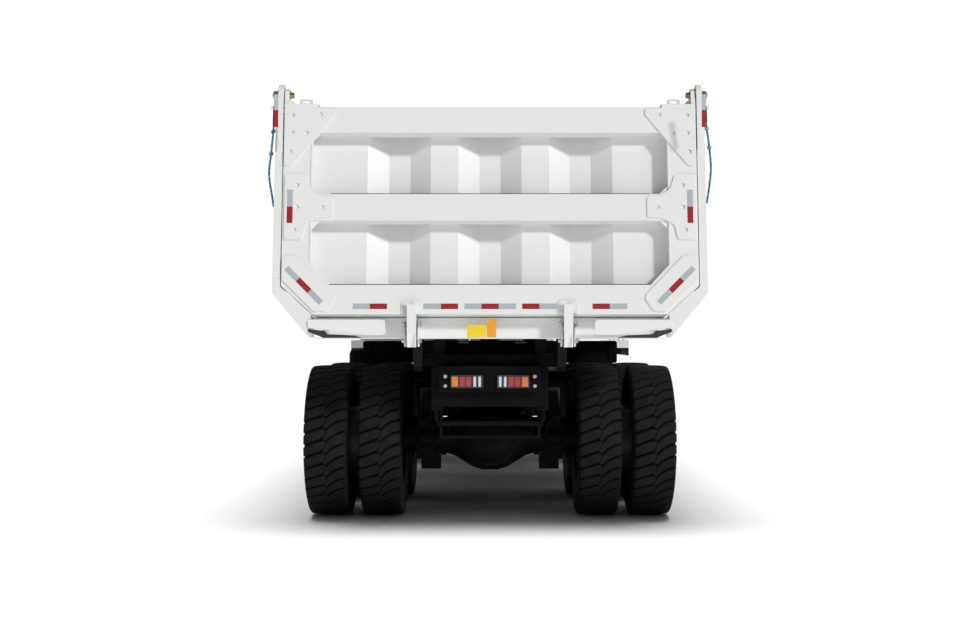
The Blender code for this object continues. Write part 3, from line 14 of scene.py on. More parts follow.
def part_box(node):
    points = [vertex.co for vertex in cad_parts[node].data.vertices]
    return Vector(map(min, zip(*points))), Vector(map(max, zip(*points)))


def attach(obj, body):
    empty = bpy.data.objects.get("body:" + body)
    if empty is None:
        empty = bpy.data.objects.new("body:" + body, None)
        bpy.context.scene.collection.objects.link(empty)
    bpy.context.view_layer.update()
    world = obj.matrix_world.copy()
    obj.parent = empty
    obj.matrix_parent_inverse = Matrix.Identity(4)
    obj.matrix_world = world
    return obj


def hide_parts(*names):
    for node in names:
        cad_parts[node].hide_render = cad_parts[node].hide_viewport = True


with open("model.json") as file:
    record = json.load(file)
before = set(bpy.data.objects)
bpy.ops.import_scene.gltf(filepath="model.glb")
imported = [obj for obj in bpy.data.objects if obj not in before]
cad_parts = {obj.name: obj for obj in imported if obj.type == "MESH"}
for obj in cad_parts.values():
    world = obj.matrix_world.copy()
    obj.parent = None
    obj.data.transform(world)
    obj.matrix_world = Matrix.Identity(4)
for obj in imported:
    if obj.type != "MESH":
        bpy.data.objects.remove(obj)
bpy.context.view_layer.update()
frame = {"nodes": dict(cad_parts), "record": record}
SCENE = bpy.context.scene
SIDES = (("left", -1), ("right", 1))

# ---- camera, floor and light --------------------------------------------------

EYE = Vector((0.0, -15.6, 1.6))
FRAME_WIDTH, HORIZON_DROP = 980, 29  # the view's width, and how far the horizon lies below its middle


def make_camera():
    lens = bpy.data.cameras.new("camera")
    lens.lens, lens.sensor_width = 50, 36
    lens.shift_y = HORIZON_DROP / FRAME_WIDTH
    camera = bpy.data.objects.new("camera", lens)
    camera.location = EYE
    camera.rotation_euler = (math.radians(90), 0, 0)
    SCENE.collection.objects.link(camera)
    SCENE.camera = camera


def make_lamp(name, kind, power, direction, **settings):
    """A lamp that shines along a direction."""
    data = bpy.data.lights.new(name, kind)
    data.energy = power
    for key, value in settings.items():
        setattr(data, key, value)
    lamp = bpy.data.objects.new(name, data)
    lamp.rotation_mode = "QUATERNION"
    lamp.rotation_quaternion = Vector(direction).to_track_quat("-Z", "Y")
    lamp.location = Vector(direction) * -20
    SCENE.collection.objects.link(lamp)
    return lamp


def light_only(lamp, objects, name):
    """Keeps a lamp's light to these objects."""
    lit = bpy.data.collections.new(name)
    for obj in objects:
        lit.objects.link(obj)
    lamp.light_linking.receiver_collection = lit


def make_room():
    """A pale floor under an even sky, with a soft key light over the right shoulder."""
    sky = bpy.data.worlds.new("sky")
    sky.use_nodes = True
    nodes, links = sky.node_tree.nodes, sky.node_tree.links
    backdrop = nodes["Background"]
    backdrop.inputs["Color"].default_value = (1, 1, 1, 1)
    backdrop.inputs["Strength"].default_value = 1.02
    dome = nodes.new("ShaderNodeBackground")
    dome.inputs["Color"].default_value = (0.93, 0.96, 1.0, 1)
    dome.inputs["Strength"].default_value = 0.22
    ray, mix = nodes.new("ShaderNodeLightPath"), nodes.new("ShaderNodeMixShader")
    links.new(ray.outputs["Is Camera Ray"], mix.inputs["Fac"])
    links.new(dome.outputs["Background"], mix.inputs[1])
    links.new(backdrop.outputs["Background"], mix.inputs[2])
    links.new(mix.outputs["Shader"], nodes["World Output"].inputs["Surface"])
    SCENE.world = sky
    form = bmesh.new()
    bmesh.ops.create_grid(form, x_segments=8, y_segments=8, size=90)
    mesh = bpy.data.meshes.new("floor")
    form.to_mesh(mesh)
    form.free()
    floor = bpy.data.objects.new("floor", mesh)
    floor.location.z = -0.002
    SCENE.collection.objects.link(floor)
    pale = bpy.data.materials.new("studio_floor")
    pale.use_nodes = True
    shader = pale.node_tree.nodes["Principled BSDF"]
    shader.inputs["Base Color"].default_value = (0.93, 0.93, 0.93, 1)
    shader.inputs["Roughness"].default_value = 0.75
    shader.inputs["Specular IOR Level"].default_value = 0.15
    mesh.materials.append(pale)
    key = make_lamp("key", "SUN", 2.1, (-1.06, 1.0, -0.84), angle=math.radians(7))
    key.data.color = (1.0, 0.99, 0.97)
    above = make_lamp("above", "SUN", 3.1, (0.0, 0.12, -1.0), angle=math.radians(38))
    light_only(above, [floor], "floor_lit")
    truck = [obj for obj in SCENE.objects if obj.type == "MESH" and obj != floor]
    return key, truck


SCENE.view_settings.view_transform = "Standard"
make_camera()

# ---- shapes -------------------------------------------------------------------

AXES = {
    "X": Matrix(((0, 0, 1, 0), (1, 0, 0, 0), (0, 1, 0, 0), (0, 0, 0, 1))),
    "Y": Matrix(((1, 0, 0, 0), (0, 0, -1, 0), (0, 1, 0, 0), (0, 0, 0, 1))),
    "Z": Matrix(),
}
STILL = Matrix()


def along(start, end):
    """A frame whose Z runs from one point towards another."""
    start, end = Vector(start), Vector(end)
    return Matrix.Translation(start) @ (end - start).to_track_quat("Z", "Y").to_matrix().to_4x4()


def circle(x, y, radius, sides=24):
    turns = (2 * math.pi * i / sides for i in range(sides))
    return [(x + radius * math.cos(t), y + radius * math.sin(t)) for t in turns]


def rounded(outline, radius, steps=4):
    """The outline with each corner turned into an arc. A point's third number is its own radius."""
    made = []
    count = len(outline)
    for i, corner in enumerate(outline):
        here = Vector(corner[:2])
        reach = corner[2] if len(corner) > 2 else radius
        before = Vector(outline[i - 1][:2]) - here
        after = Vector(outline[(i + 1) % count][:2]) - here
        half = before.angle(after) / 2
        cut = min(reach / math.tan(half), 0.49 * before.length, 0.49 * after.length)
        first, last = here + before.normalized() * cut, here + after.normalized() * cut
        for k in range(steps + 1):
            t = k / steps
            made.append(tuple(first * (1 - t) ** 2 + here * 2 * t * (1 - t) + last * t * t))
    return made


def oblong(low, high, radius):
    """A rectangle with round corners."""
    (x0, y0), (x1, y1) = low, high
    return rounded([(x0, y0), (x1, y0), (x1, y1), (x0, y1)], radius)


class Shape:
    """Solids gathered in one mesh, which becomes one piece of the truck."""

    def __init__(self):
        self.form = bmesh.new()

    def take(self, form, place=STILL):
        mesh = bpy.data.meshes.new("solid")
        form.to_mesh(mesh)
        form.free()
        mesh.transform(place)
        if place.determinant() < 0:
            mesh.flip_normals()
        self.form.from_mesh(mesh)
        bpy.data.meshes.remove(mesh)

    def block(self, low, high, edge=0.004, place=STILL):
        """A box with rounded edges."""
        low, high = Vector(low), Vector(high)
        form = bmesh.new()
        bmesh.ops.create_cube(form, size=1.0)
        bmesh.ops.scale(form, vec=high - low, verts=form.verts)
        bmesh.ops.translate(form, vec=(low + high) / 2, verts=form.verts)
        if edge:
            bmesh.ops.bevel(form, geom=form.edges[:], offset=edge, segments=2, affect="EDGES", profile=0.5)
        self.take(form, place)

    def plate(self, outlines, axis, low, high, edge=0.002, place=STILL):
        """A sheet between two heights on an axis. The first outline is its rim, the others its holes."""
        curve = bpy.data.curves.new("outline", "CURVE")
        curve.dimensions, curve.fill_mode = "2D", "BOTH"
        curve.extrude = (high - low) / 2 - edge
        curve.bevel_depth, curve.bevel_resolution, curve.offset = edge, 1, -edge
        for outline in outlines:
            spline = curve.splines.new("POLY")
            spline.points.add(len(outline) - 1)
            for point, spot in zip(spline.points, outline):
                point.co = (*spot, 0, 1)
            spline.use_cyclic_u = True
        drawn = bpy.data.objects.new("outline", curve)
        mesh = bpy.data.meshes.new_from_object(drawn)
        bpy.data.objects.remove(drawn)
        bpy.data.curves.remove(curve)
        form = bmesh.new()
        form.from_mesh(mesh)
        bpy.data.meshes.remove(mesh)
        bmesh.ops.remove_doubles(form, verts=form.verts, dist=0.00001)
        bmesh.ops.recalc_face_normals(form, faces=form.faces)
        middle = (low + high) / 2 * (-1 if axis == "Y" else 1)
        self.take(form, place @ AXES[axis] @ Matrix.Translation((0, 0, middle)))

    def turned(self, profile, place=STILL, sides=48, ring=False):
        """A profile of (radius, height) points turned about its own Z."""
        form = bmesh.new()
        line = [form.verts.new((radius, 0, height)) for radius, height in profile]
        pairs = list(zip(line, line[1:])) + ([(line[-1], line[0])] if ring else [])
        edges = [form.edges.new(pair) for pair in pairs]
        bmesh.ops.spin(
            form, geom=line + edges, cent=(0, 0, 0), axis=(0, 0, 1), angle=2 * math.pi,
            steps=sides, use_merge=True,
        )
        bmesh.ops.remove_doubles(form, verts=form.verts, dist=0.00001)
        bmesh.ops.recalc_face_normals(form, faces=form.faces)
        self.take(form, place)

    def rod(self, start, end, radius, sides=24, end_radius=None, edge=0.0):
        """A cylinder or a cone from one point to another, with its rims broken by the edge."""
        length = (Vector(end) - Vector(start)).length
        last = radius if end_radius is None else end_radius
        profile = [
            (0, 0), (radius - edge, 0), (radius, edge), (last, length - edge), (last - edge, length),
            (0, length),
        ]
        if not edge:
            profile = [(0, 0), (radius, 0), (last, length), (0, length)]
        self.turned(profile, along(start, end), sides)

    def tube(self, points, radius, sides=3, smooth=True):
        """A bent tube through the points."""
        curve = bpy.data.curves.new("run", "CURVE")
        curve.dimensions, curve.bevel_depth, curve.bevel_resolution = "3D", radius, sides
        curve.use_fill_caps = True
        spline = curve.splines.new("BEZIER" if smooth else "POLY")
        knots = spline.bezier_points if smooth else spline.points
        knots.add(len(points) - 1)
        for knot, spot in zip(knots, points):
            if smooth:
                knot.co = spot
                knot.handle_left_type = knot.handle_right_type = "AUTO"
            else:
                knot.co = (*spot, 1)
        drawn = bpy.data.objects.new("run", curve)
        mesh = bpy.data.meshes.new_from_object(drawn)
        bpy.data.objects.remove(drawn)
        bpy.data.curves.remove(curve)
        form = bmesh.new()
        form.from_mesh(mesh)
        bpy.data.meshes.remove(mesh)
        bmesh.ops.remove_doubles(form, verts=form.verts, dist=0.00001)
        self.take(form)

    def bolt(self, seat, direction, size=0.024, turn=0.0):
        """A hexagon head on a washer. The size is the distance between its flats."""
        place = along(seat, Vector(seat) + Vector(direction)) @ Matrix.Rotation(turn, 4, "Z")
        across = size / 2 / math.cos(math.pi / 6)
        self.turned([(0, 0), (size * 0.78, 0), (size * 0.78, size * 0.12), (0, size * 0.12)], place, 20)
        high = size * 0.72
        head = [
            (0, 0.0), (across, size * 0.1), (across, high - size * 0.1), (across * 0.86, high), (0, high),
        ]
        self.turned(head, place, 6)

    def piece(self, name, finish, body, replaces=(), smooth=32):
        mesh = bpy.data.meshes.new(name)
        self.form.to_mesh(mesh)
        self.form.free()
        mesh.shade_smooth()
        mesh.set_sharp_from_angle(angle=math.radians(smooth))
        obj = put(name, mesh, finish, body, replaces)
        even = obj.modifiers.new("even", "WEIGHTED_NORMAL")
        even.keep_sharp = True
        return obj


def put(name, mesh, finish, body, replaces=(), place=None):
    """Shows a mesh or a curve as a piece that rides on a body."""
    if not mesh.materials:
        mesh.materials.append(FINISHES[finish])
    obj = bpy.data.objects.new(name, mesh)
    SCENE.collection.objects.link(obj)
    if place is not None:
        obj.matrix_world = place
    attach(obj, body)
    if replaces:
        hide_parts(*replaces)
    return obj


# ---- finishes -----------------------------------------------------------------


def new_group(name, inputs, outputs):
    """A shader node group with named sockets, and its two end nodes."""
    group = bpy.data.node_groups.new(name, "ShaderNodeTree")
    for label, kind, value in inputs:
        socket = group.interface.new_socket(label, in_out="INPUT", socket_type=f"NodeSocket{kind}")
        socket.default_value = value
    for label, kind in outputs:
        group.interface.new_socket(label, in_out="OUTPUT", socket_type=f"NodeSocket{kind}")
    return group, group.nodes.new("NodeGroupInput"), group.nodes.new("NodeGroupOutput")


class Wiring:
    """Short ways to add nodes to a tree."""

    def __init__(self, tree):
        self.nodes, self.links = tree.nodes, tree.links

    def node(self, kind, settings=None, **inputs):
        """A node with its settings, and with values or links put in its named sockets."""
        made = self.nodes.new(f"ShaderNode{kind}")
        for key, value in (settings or {}).items():
            setattr(made, key, value)
        for label, value in inputs.items():
            self.feed(made.inputs[label.replace("_", " ")], value)
        return made

    def feed(self, socket, value):
        if isinstance(value, bpy.types.NodeSocket):
            self.links.new(value, socket)
        else:
            socket.default_value = value

    def math(self, operation, *values, clamp=False):
        made = self.nodes.new("ShaderNodeMath")
        made.operation, made.use_clamp = operation, clamp
        for socket, value in zip(made.inputs, values):
            self.feed(socket, value)
        return made.outputs[0]

    def mix(self, factor, first, second, blend="MIX"):
        made = self.nodes.new("ShaderNodeMix")
        made.data_type, made.blend_type, made.clamp_factor = "RGBA", blend, True
        self.feed(made.inputs["Factor"], factor)
        self.feed(made.inputs["A"], first)
        self.feed(made.inputs["B"], second)
        return made.outputs["Result"]

    def ramp(self, value, low, high):
        """The value stretched so that low becomes 0 and high becomes 1."""
        made = self.nodes.new("ShaderNodeMapRange")
        made.interpolation_type = "SMOOTHSTEP"
        self.feed(made.inputs["Value"], value)
        self.feed(made.inputs["From Min"], low)
        self.feed(made.inputs["From Max"], high)
        return made.outputs["Result"]

    def noise(self, scale, detail=3.0, vector=None, roughness=0.55):
        made = self.node("TexNoise", Scale=scale, Detail=detail, Roughness=roughness)
        self.feed(made.inputs["Vector"], vector or self.node("TexCoord").outputs["Object"])
        return made.outputs["Fac"]


def tone_group():
    """Slow changes of tone over a surface, with the roughness that goes with them."""
    inputs = [
        ("Color", "Color", (0.8, 0.8, 0.8, 1)), ("Roughness", "Float", 0.4), ("Scale", "Float", 1.5),
        ("Tone", "Float", 0.05), ("Sheen Change", "Float", 0.08),
    ]
    group, start, end = new_group("surface_tone", inputs, [("Color", "Color"), ("Roughness", "Float")])
    wires, values = Wiring(group), start.outputs
    slow = wires.noise(values["Scale"], 5.0)
    swing = wires.math("MULTIPLY", wires.math("SUBTRACT", slow, 0.5), 2.0)
    lift = wires.math("MULTIPLY_ADD", swing, values["Tone"], 1.0)
    shade = wires.nodes.new("ShaderNodeVectorMath")
    shade.operation = "SCALE"
    wires.feed(shade.inputs[0], values["Color"])
    wires.feed(shade.inputs["Scale"], lift)
    wires.feed(end.inputs["Color"], shade.outputs[0])
    patch = wires.noise(wires.math("MULTIPLY", values["Scale"], 6.0), 4.0)
    change = wires.math("MULTIPLY", wires.math("SUBTRACT", patch, 0.5), values["Sheen Change"])
    wires.feed(end.inputs["Roughness"], wires.math("ADD", values["Roughness"], change, clamp=True))
    return group


def edge_highlight_and_wear_group():
    """Rounds sharp edges by their normal and finds them, and lightens them: a painted highlight along the
    edges, partly edge wear.
    """
    inputs = [
        ("Color", "Color", (0.8, 0.8, 0.8, 1)), ("Edge Color", "Color", (0.9, 0.9, 0.9, 1)),
        ("Radius", "Float", 0.006), ("Amount", "Float", 0.3),
    ]
    outputs = [("Color", "Color"), ("Edge", "Float"), ("Normal", "Vector")]
    group, start, end = new_group("edge_highlight_and_wear", inputs, outputs)
    wires, values = Wiring(group), start.outputs
    soft = wires.node("Bevel", {"samples": 4}, Radius=values["Radius"])
    facing = wires.nodes.new("ShaderNodeVectorMath")
    facing.operation = "DOT_PRODUCT"
    wires.feed(facing.inputs[0], soft.outputs["Normal"])
    wires.feed(facing.inputs[1], wires.node("NewGeometry").outputs["Normal"])
    turned = wires.ramp(wires.math("SUBTRACT", 1.0, facing.outputs["Value"]), 0.02, 0.22)
    broken = wires.ramp(wires.noise(24.0, 5.0), 0.35, 0.6)
    edge = wires.math("MULTIPLY", wires.math("MULTIPLY", turned, broken), values["Amount"], clamp=True)
    # painted highlight, partly wear: the lighter edge colour is mixed in along sharp edges
    wires.feed(end.inputs["Color"], wires.mix(edge, values["Color"], values["Edge Color"]))
    wires.feed(end.inputs["Edge"], edge)
    wires.feed(end.inputs["Normal"], soft.outputs["Normal"])
    return group


def dust_group():
    """Road dust that thickens towards the ground and lies on what faces up."""
    inputs = [
        ("Color", "Color", (0.1, 0.1, 0.1, 1)), ("Roughness", "Float", 0.4),
        ("Dust Color", "Color", (0.30, 0.26, 0.21, 1)), ("Amount", "Float", 0.3), ("Height", "Float", 1.5),
    ]
    group, start, end = new_group("road_dust", inputs, [("Color", "Color"), ("Roughness", "Float")])
    wires, values = Wiring(group), start.outputs
    place = wires.node("TexCoord")
    level = wires.node("SeparateXYZ", Vector=place.outputs["Object"]).outputs["Z"]
    low = wires.math("SUBTRACT", 1.0, wires.math("DIVIDE", level, values["Height"]), clamp=True)
    up = wires.node("SeparateXYZ", Vector=place.outputs["Normal"]).outputs["Z"]
    lying = wires.ramp(up, 0.35, 1.0)
    cover = wires.math("MAXIMUM", low, wires.math("MULTIPLY", lying, 0.55))
    patch = wires.ramp(wires.noise(7.0, 8.0, roughness=0.7), 0.30, 0.75)
    dust = wires.math("MULTIPLY", wires.math("MULTIPLY", cover, patch), values["Amount"], clamp=True)
    wires.feed(end.inputs["Color"], wires.mix(dust, values["Color"], values["Dust Color"]))
    rough = wires.math("MULTIPLY_ADD", dust, 0.5, values["Roughness"], clamp=True)
    wires.feed(end.inputs["Roughness"], rough)
    return group


def grain_group():
    """A fine grain: orange peel in paint, sand in a casting, pores in rubber or moulded plastic."""
    inputs = [("Scale", "Float", 120.0), ("Pebble", "Float", 0.0)]
    group, start, end = new_group("fine_grain", inputs, [("Height", "Float")])
    wires, values = Wiring(group), start.outputs
    place = wires.node("TexCoord").outputs["Object"]
    fine = wires.noise(values["Scale"], 2.0, place)
    cells = wires.node("TexVoronoi", Vector=place, Scale=values["Scale"]).outputs["Distance"]
    both = wires.node("Mix", Factor=values["Pebble"])
    wires.feed(both.inputs["A"], fine)
    wires.feed(both.inputs["B"], cells)
    wires.feed(end.inputs["Height"], both.outputs["Result"])
    return group


def streak_group():
    """Fine lines along one axis, as on drawn, ground or plated metal."""
    inputs = [
        ("Color", "Color", (0.6, 0.6, 0.6, 1)), ("Roughness", "Float", 0.3),
        ("Stretch", "Vector", (1, 1, 1)), ("Amount", "Float", 0.2),
    ]
    outputs = [("Color", "Color"), ("Roughness", "Float"), ("Height", "Float")]
    group, start, end = new_group("metal_streaks", inputs, outputs)
    wires, values = Wiring(group), start.outputs
    place = wires.nodes.new("ShaderNodeVectorMath")
    place.operation = "MULTIPLY"
    wires.feed(place.inputs[0], wires.node("TexCoord").outputs["Object"])
    wires.feed(place.inputs[1], values["Stretch"])
    lines = wires.noise(1.0, 4.0, place.outputs[0])
    swing = wires.math("SUBTRACT", lines, 0.5)
    lift = wires.math("MULTIPLY_ADD", swing, values["Amount"], 1.0)
    shade = wires.nodes.new("ShaderNodeVectorMath")
    shade.operation = "SCALE"
    wires.feed(shade.inputs[0], values["Color"])
    wires.feed(shade.inputs["Scale"], lift)
    wires.feed(end.inputs["Color"], shade.outputs[0])
    change = wires.math("MULTIPLY", values["Amount"], 0.8)
    rough = wires.math("MULTIPLY_ADD", swing, change, values["Roughness"])
    wires.feed(end.inputs["Roughness"], rough)
    wires.feed(end.inputs["Height"], lines)
    return group


def weave_group():
    """Crossing threads, for seat cloth and for the rope's braid."""
    inputs = [("Scale", "Float", 300.0), ("Slant", "Float", 0.0)]
    group, start, end = new_group("cloth_weave", inputs, [("Height", "Float"), ("Thread", "Float")])
    wires, values = Wiring(group), start.outputs
    place = wires.node("SeparateXYZ", Vector=wires.node("TexCoord").outputs["Object"])
    across = wires.math("MULTIPLY_ADD", place.outputs["Z"], values["Slant"], place.outputs["X"])
    across = wires.math("ADD", across, place.outputs["Y"])
    back = wires.math("MULTIPLY", values["Slant"], -1.0)
    rise = wires.math("MULTIPLY_ADD", place.outputs["X"], back, place.outputs["Z"])
    warp = wires.math("SINE", wires.math("MULTIPLY", across, values["Scale"]))
    weft = wires.math("SINE", wires.math("MULTIPLY", rise, values["Scale"]))
    crossed = wires.math("MULTIPLY", warp, weft)
    wires.feed(end.inputs["Height"], wires.math("MULTIPLY_ADD", crossed, 0.5, 0.5))
    wires.feed(end.inputs["Thread"], wires.math("GREATER_THAN", crossed, 0.0))
    return group


TONE, EDGE, DUST = tone_group(), edge_highlight_and_wear_group(), dust_group()
GRAIN, STREAK, WEAVE = grain_group(), streak_group(), weave_group()


class Finish:
    """A material: its shader, with the effects that are placed in front of it one by one."""

    def __init__(self, name, colour, roughness, **sockets):
        self.material = bpy.data.materials.new(name)
        self.material.use_nodes = True
        self.material.diffuse_color = (*colour, 1)
        self.wires = Wiring(self.material.node_tree)
        self.shader = self.wires.nodes["Principled BSDF"]
        self.colour, self.roughness, self.normal = (*colour, 1), roughness, None
        for label, value in sockets.items():
            self.shader.inputs[label.replace("_", " ")].default_value = value

    def group(self, tree, **inputs):
        made = self.wires.nodes.new("ShaderNodeGroup")
        made.node_tree = tree
        for label, value in inputs.items():
            self.wires.feed(made.inputs[label.replace("_", " ")], value)
        return made.outputs

    def tone(self, scale=1.5, tone=0.05, sheen=0.08):
        out = self.group(
            TONE, Color=self.colour, Roughness=self.roughness, Scale=scale, Tone=tone, Sheen_Change=sheen
        )
        self.colour, self.roughness = out["Color"], out["Roughness"]
        return self

    def edges(self, colour, radius=0.006, amount=0.3):
        # lightens sharp edges: a painted highlight, partly edge wear
        out = self.group(EDGE, Color=self.colour, Edge_Color=(*colour, 1), Radius=radius, Amount=amount)
        self.colour, self.normal = out["Color"], out["Normal"]
        return self

    def dust(self, amount, height=1.5, colour=(0.30, 0.26, 0.21)):
        out = self.group(
            DUST, Color=self.colour, Roughness=self.roughness, Dust_Color=(*colour, 1), Amount=amount,
            Height=height,
        )
        self.colour, self.roughness = out["Color"], out["Roughness"]
        return self

    def streaks(self, stretch, amount=0.2, depth=0.0):
        out = self.group(STREAK, Color=self.colour, Roughness=self.roughness, Stretch=stretch, Amount=amount)
        self.colour, self.roughness = out["Color"], out["Roughness"]
        return self.bump(out["Height"], depth) if depth else self

    def grain(self, scale, depth, pebble=0.0):
        return self.bump(self.group(GRAIN, Scale=scale, Pebble=pebble)["Height"], depth)

    def bump(self, height, depth, strength=1.0):
        made = self.wires.node("Bump", Height=height, Distance=depth, Strength=strength)
        if self.normal is not None:
            self.wires.feed(made.inputs["Normal"], self.normal)
        self.normal = made.outputs["Normal"]
        return self

    def done(self):
        self.wires.feed(self.shader.inputs["Base Color"], self.colour)
        self.wires.feed(self.shader.inputs["Roughness"], self.roughness)
        if self.normal is not None:
            self.wires.feed(self.shader.inputs["Normal"], self.normal)
        return self.material


def white_paint():
    """New white enamel over welded plate, brighter along its edges by a painted highlight."""
    made = Finish("white_paint", (0.79, 0.80, 0.785), 0.34, Coat_Weight=0.25, Coat_Roughness=0.12)
    # painted highlight: a lighter white along the edges
    made.tone(0.9, 0.018, 0.10).edges((0.86, 0.87, 0.85), 0.004, 0.5)
    made.dust(0.10, 1.9, (0.55, 0.51, 0.44))
    return made.grain(95.0, 0.00035).done()


def chassis_paint():
    made = Finish("chassis_paint", (0.0045, 0.0045, 0.005), 0.5, Specular_IOR_Level=0.05)
    made.tone(2.2, 0.25, 0.18).edges((0.022, 0.023, 0.025), 0.003, 0.5)
    made.dust(0.03, 1.4, (0.16, 0.14, 0.12))
    return made.grain(70.0, 0.0006).done()


def rim_paint():
    made = Finish("rim_paint", (0.018, 0.019, 0.022), 0.38, Specular_IOR_Level=0.28)
    made.tone(3.0, 0.2, 0.15).edges((0.12, 0.12, 0.125), 0.004, 0.5)
    made.dust(0.12, 1.3, (0.20, 0.18, 0.15))
    return made.grain(90.0, 0.0004).done()


def tyre_rubber():
    """Carbon-black rubber, near black in the grooves of the crown as painted shade between the lugs."""
    made = Finish("tyre_rubber", (0.0115, 0.0118, 0.0125), 0.66, Specular_IOR_Level=0.06)
    wires = made.wires
    place = wires.node("SeparateXYZ", Vector=wires.node("TexCoord").outputs["Object"])
    squares = [wires.math("POWER", place.outputs[axis], 2.0) for axis in "YZ"]
    # painted shade: the grooves on the crown are near black, while lug tops and sidewalls stay grey
    outside_groove_shade = wires.ramp(wires.math("SQRT", wires.math("ADD", *squares)), 0.655, 0.676)
    crown = wires.math("LESS_THAN", wires.math("ABSOLUTE", place.outputs["X"]), 0.17)
    outside_groove_shade = wires.math("MAXIMUM", outside_groove_shade, wires.math("SUBTRACT", 1.0, crown))
    made.colour = wires.mix(outside_groove_shade, (0.0015, 0.0015, 0.0015, 1), (0.0100, 0.0104, 0.0112, 1))
    made.tone(3.4, 0.28, 0.16).edges((0.038, 0.039, 0.042), 0.0025, 0.7)
    made.dust(0.05, 1.5, (0.12, 0.105, 0.09))
    return made.grain(210.0, 0.0007, 0.35).done()


def cast_metal():
    made = Finish("cast_metal", (0.075, 0.076, 0.08), 0.58, Metallic=0.35)
    made.tone(4.0, 0.25, 0.2).edges((0.20, 0.20, 0.20), 0.005, 0.6)
    made.dust(0.2, 1.6, (0.16, 0.14, 0.11))
    return made.grain(150.0, 0.0016, 0.6).done()


def hard_chrome():
    made = Finish("hard_chrome", (0.60, 0.61, 0.63), 0.14, Metallic=1.0)
    return made.streaks((8.0, 8.0, 260.0), 0.10).done()


def bright_steel():
    made = Finish("bright_steel", (0.55, 0.55, 0.56), 0.32, Metallic=1.0)
    made.streaks((180.0, 20.0, 180.0), 0.25, 0.0002).edges((0.75, 0.75, 0.76), 0.002, 0.5)
    return made.done()


def zinc_yellow():
    """Passivated zinc, with its drift from straw to a faint green."""
    made = Finish("zinc_yellow", (0.42, 0.33, 0.12), 0.34, Metallic=0.9)
    wires = made.wires
    drift = wires.ramp(wires.noise(38.0, 3.0), 0.4, 0.62)
    made.colour = wires.mix(drift, (0.46, 0.36, 0.12, 1), (0.26, 0.30, 0.14, 1))
    return made.streaks((120.0, 120.0, 120.0), 0.3, 0.0003).done()


def tinted_glass():
    """Green-grey safety glass."""
    made = Finish(
        "tinted_glass", (0.62, 0.72, 0.70), 0.03, Transmission_Weight=0.85, IOR=1.45, Specular_IOR_Level=0.5,
    )
    return made.tone(2.0, 0.05, 0.05).done()


def seat_fabric():
    made = Finish("seat_fabric", (0.035, 0.036, 0.042), 0.92, Sheen_Weight=0.35, Sheen_Roughness=0.5)
    cloth = made.group(WEAVE, Scale=1400.0, Slant=0.0)
    made.colour = made.wires.mix(cloth["Thread"], (0.028, 0.029, 0.034, 1), (0.060, 0.062, 0.070, 1))
    made.tone(5.0, 0.15, 0.1)
    return made.bump(cloth["Height"], 0.0008).done()


def blue_rope():
    """Braided polypropylene, blue with lighter and darker strands."""
    made = Finish("blue_rope", (0.06, 0.26, 0.42), 0.7, Sheen_Weight=0.2)
    braid = made.group(WEAVE, Scale=520.0, Slant=0.8)
    strand = made.wires.ramp(made.wires.noise(55.0, 3.0), 0.42, 0.58)
    made.colour = made.wires.mix(strand, (0.012, 0.11, 0.27, 1), (0.13, 0.42, 0.52, 1))
    made.tone(9.0, 0.35, 0.1)
    return made.bump(braid["Height"], 0.0016).done()


def black_plastic():
    made = Finish("black_plastic", (0.020, 0.020, 0.021), 0.55)
    made.tone(5.0, 0.15, 0.12).edges((0.05, 0.05, 0.05), 0.003, 0.4)
    return made.grain(420.0, 0.0006, 1.0).done()


def black_rubber():
    made = Finish("black_rubber", (0.016, 0.016, 0.017), 0.68, Specular_IOR_Level=0.3)
    made.tone(6.0, 0.2, 0.12).dust(0.12, 2.5)
    return made.grain(300.0, 0.0005, 0.4).done()


def reflective_sheet(name, colour, light):
    """Prismatic marking film: small sealed cells, each with its own glint."""
    made = Finish(name, colour, 0.28, Coat_Weight=0.6, Coat_Roughness=0.08)
    wires = made.wires
    place = wires.node("TexCoord").outputs["Object"]
    cells = wires.node("TexVoronoi", {"feature": "F1"}, Vector=place, Scale=210.0)
    seam = wires.ramp(cells.outputs["Distance"], 0.30, 0.62)
    made.colour = wires.mix(wires.math("MULTIPLY", seam, 0.35), (*colour, 1), (*light, 1))
    made.tone(11.0, 0.06, 0.05)
    return made.bump(cells.outputs["Distance"], 0.0003).done()


def lens(name, colour, bright):
    """Moulded lamp lens with fine crossed flutes, and a painted glint that lightens its colour along them."""
    made = Finish(name, colour, 0.12, Coat_Weight=0.8, Coat_Roughness=0.04, Subsurface_Weight=0.15)
    wires = made.wires
    place = wires.node("SeparateXYZ", Vector=wires.node("TexCoord").outputs["Object"])
    flute = wires.math("SINE", wires.math("MULTIPLY", place.outputs["X"], 900.0))
    prism = wires.math("SINE", wires.math("MULTIPLY", place.outputs["Z"], 700.0))
    ribs = wires.math("MULTIPLY_ADD", wires.math("ADD", flute, prism), 0.25, 0.5)
    # painted glint: the lighter colour follows the flutes
    made.colour = wires.mix(wires.math("MULTIPLY", ribs, 0.6), (*colour, 1), (*bright, 1))
    return made.bump(ribs, 0.0012).done()


def film(name, colour, dark):
    """Printed vinyl, left blank, with a faint mottling."""
    made = Finish(name, colour, 0.42, Coat_Weight=0.3)
    mottle = made.wires.ramp(made.wires.noise(60.0, 4.0), 0.5, 0.8)
    made.colour = made.wires.mix(mottle, (*colour, 1), (*dark, 1))
    return made.tone(6.0, 0.05, 0.08).done()


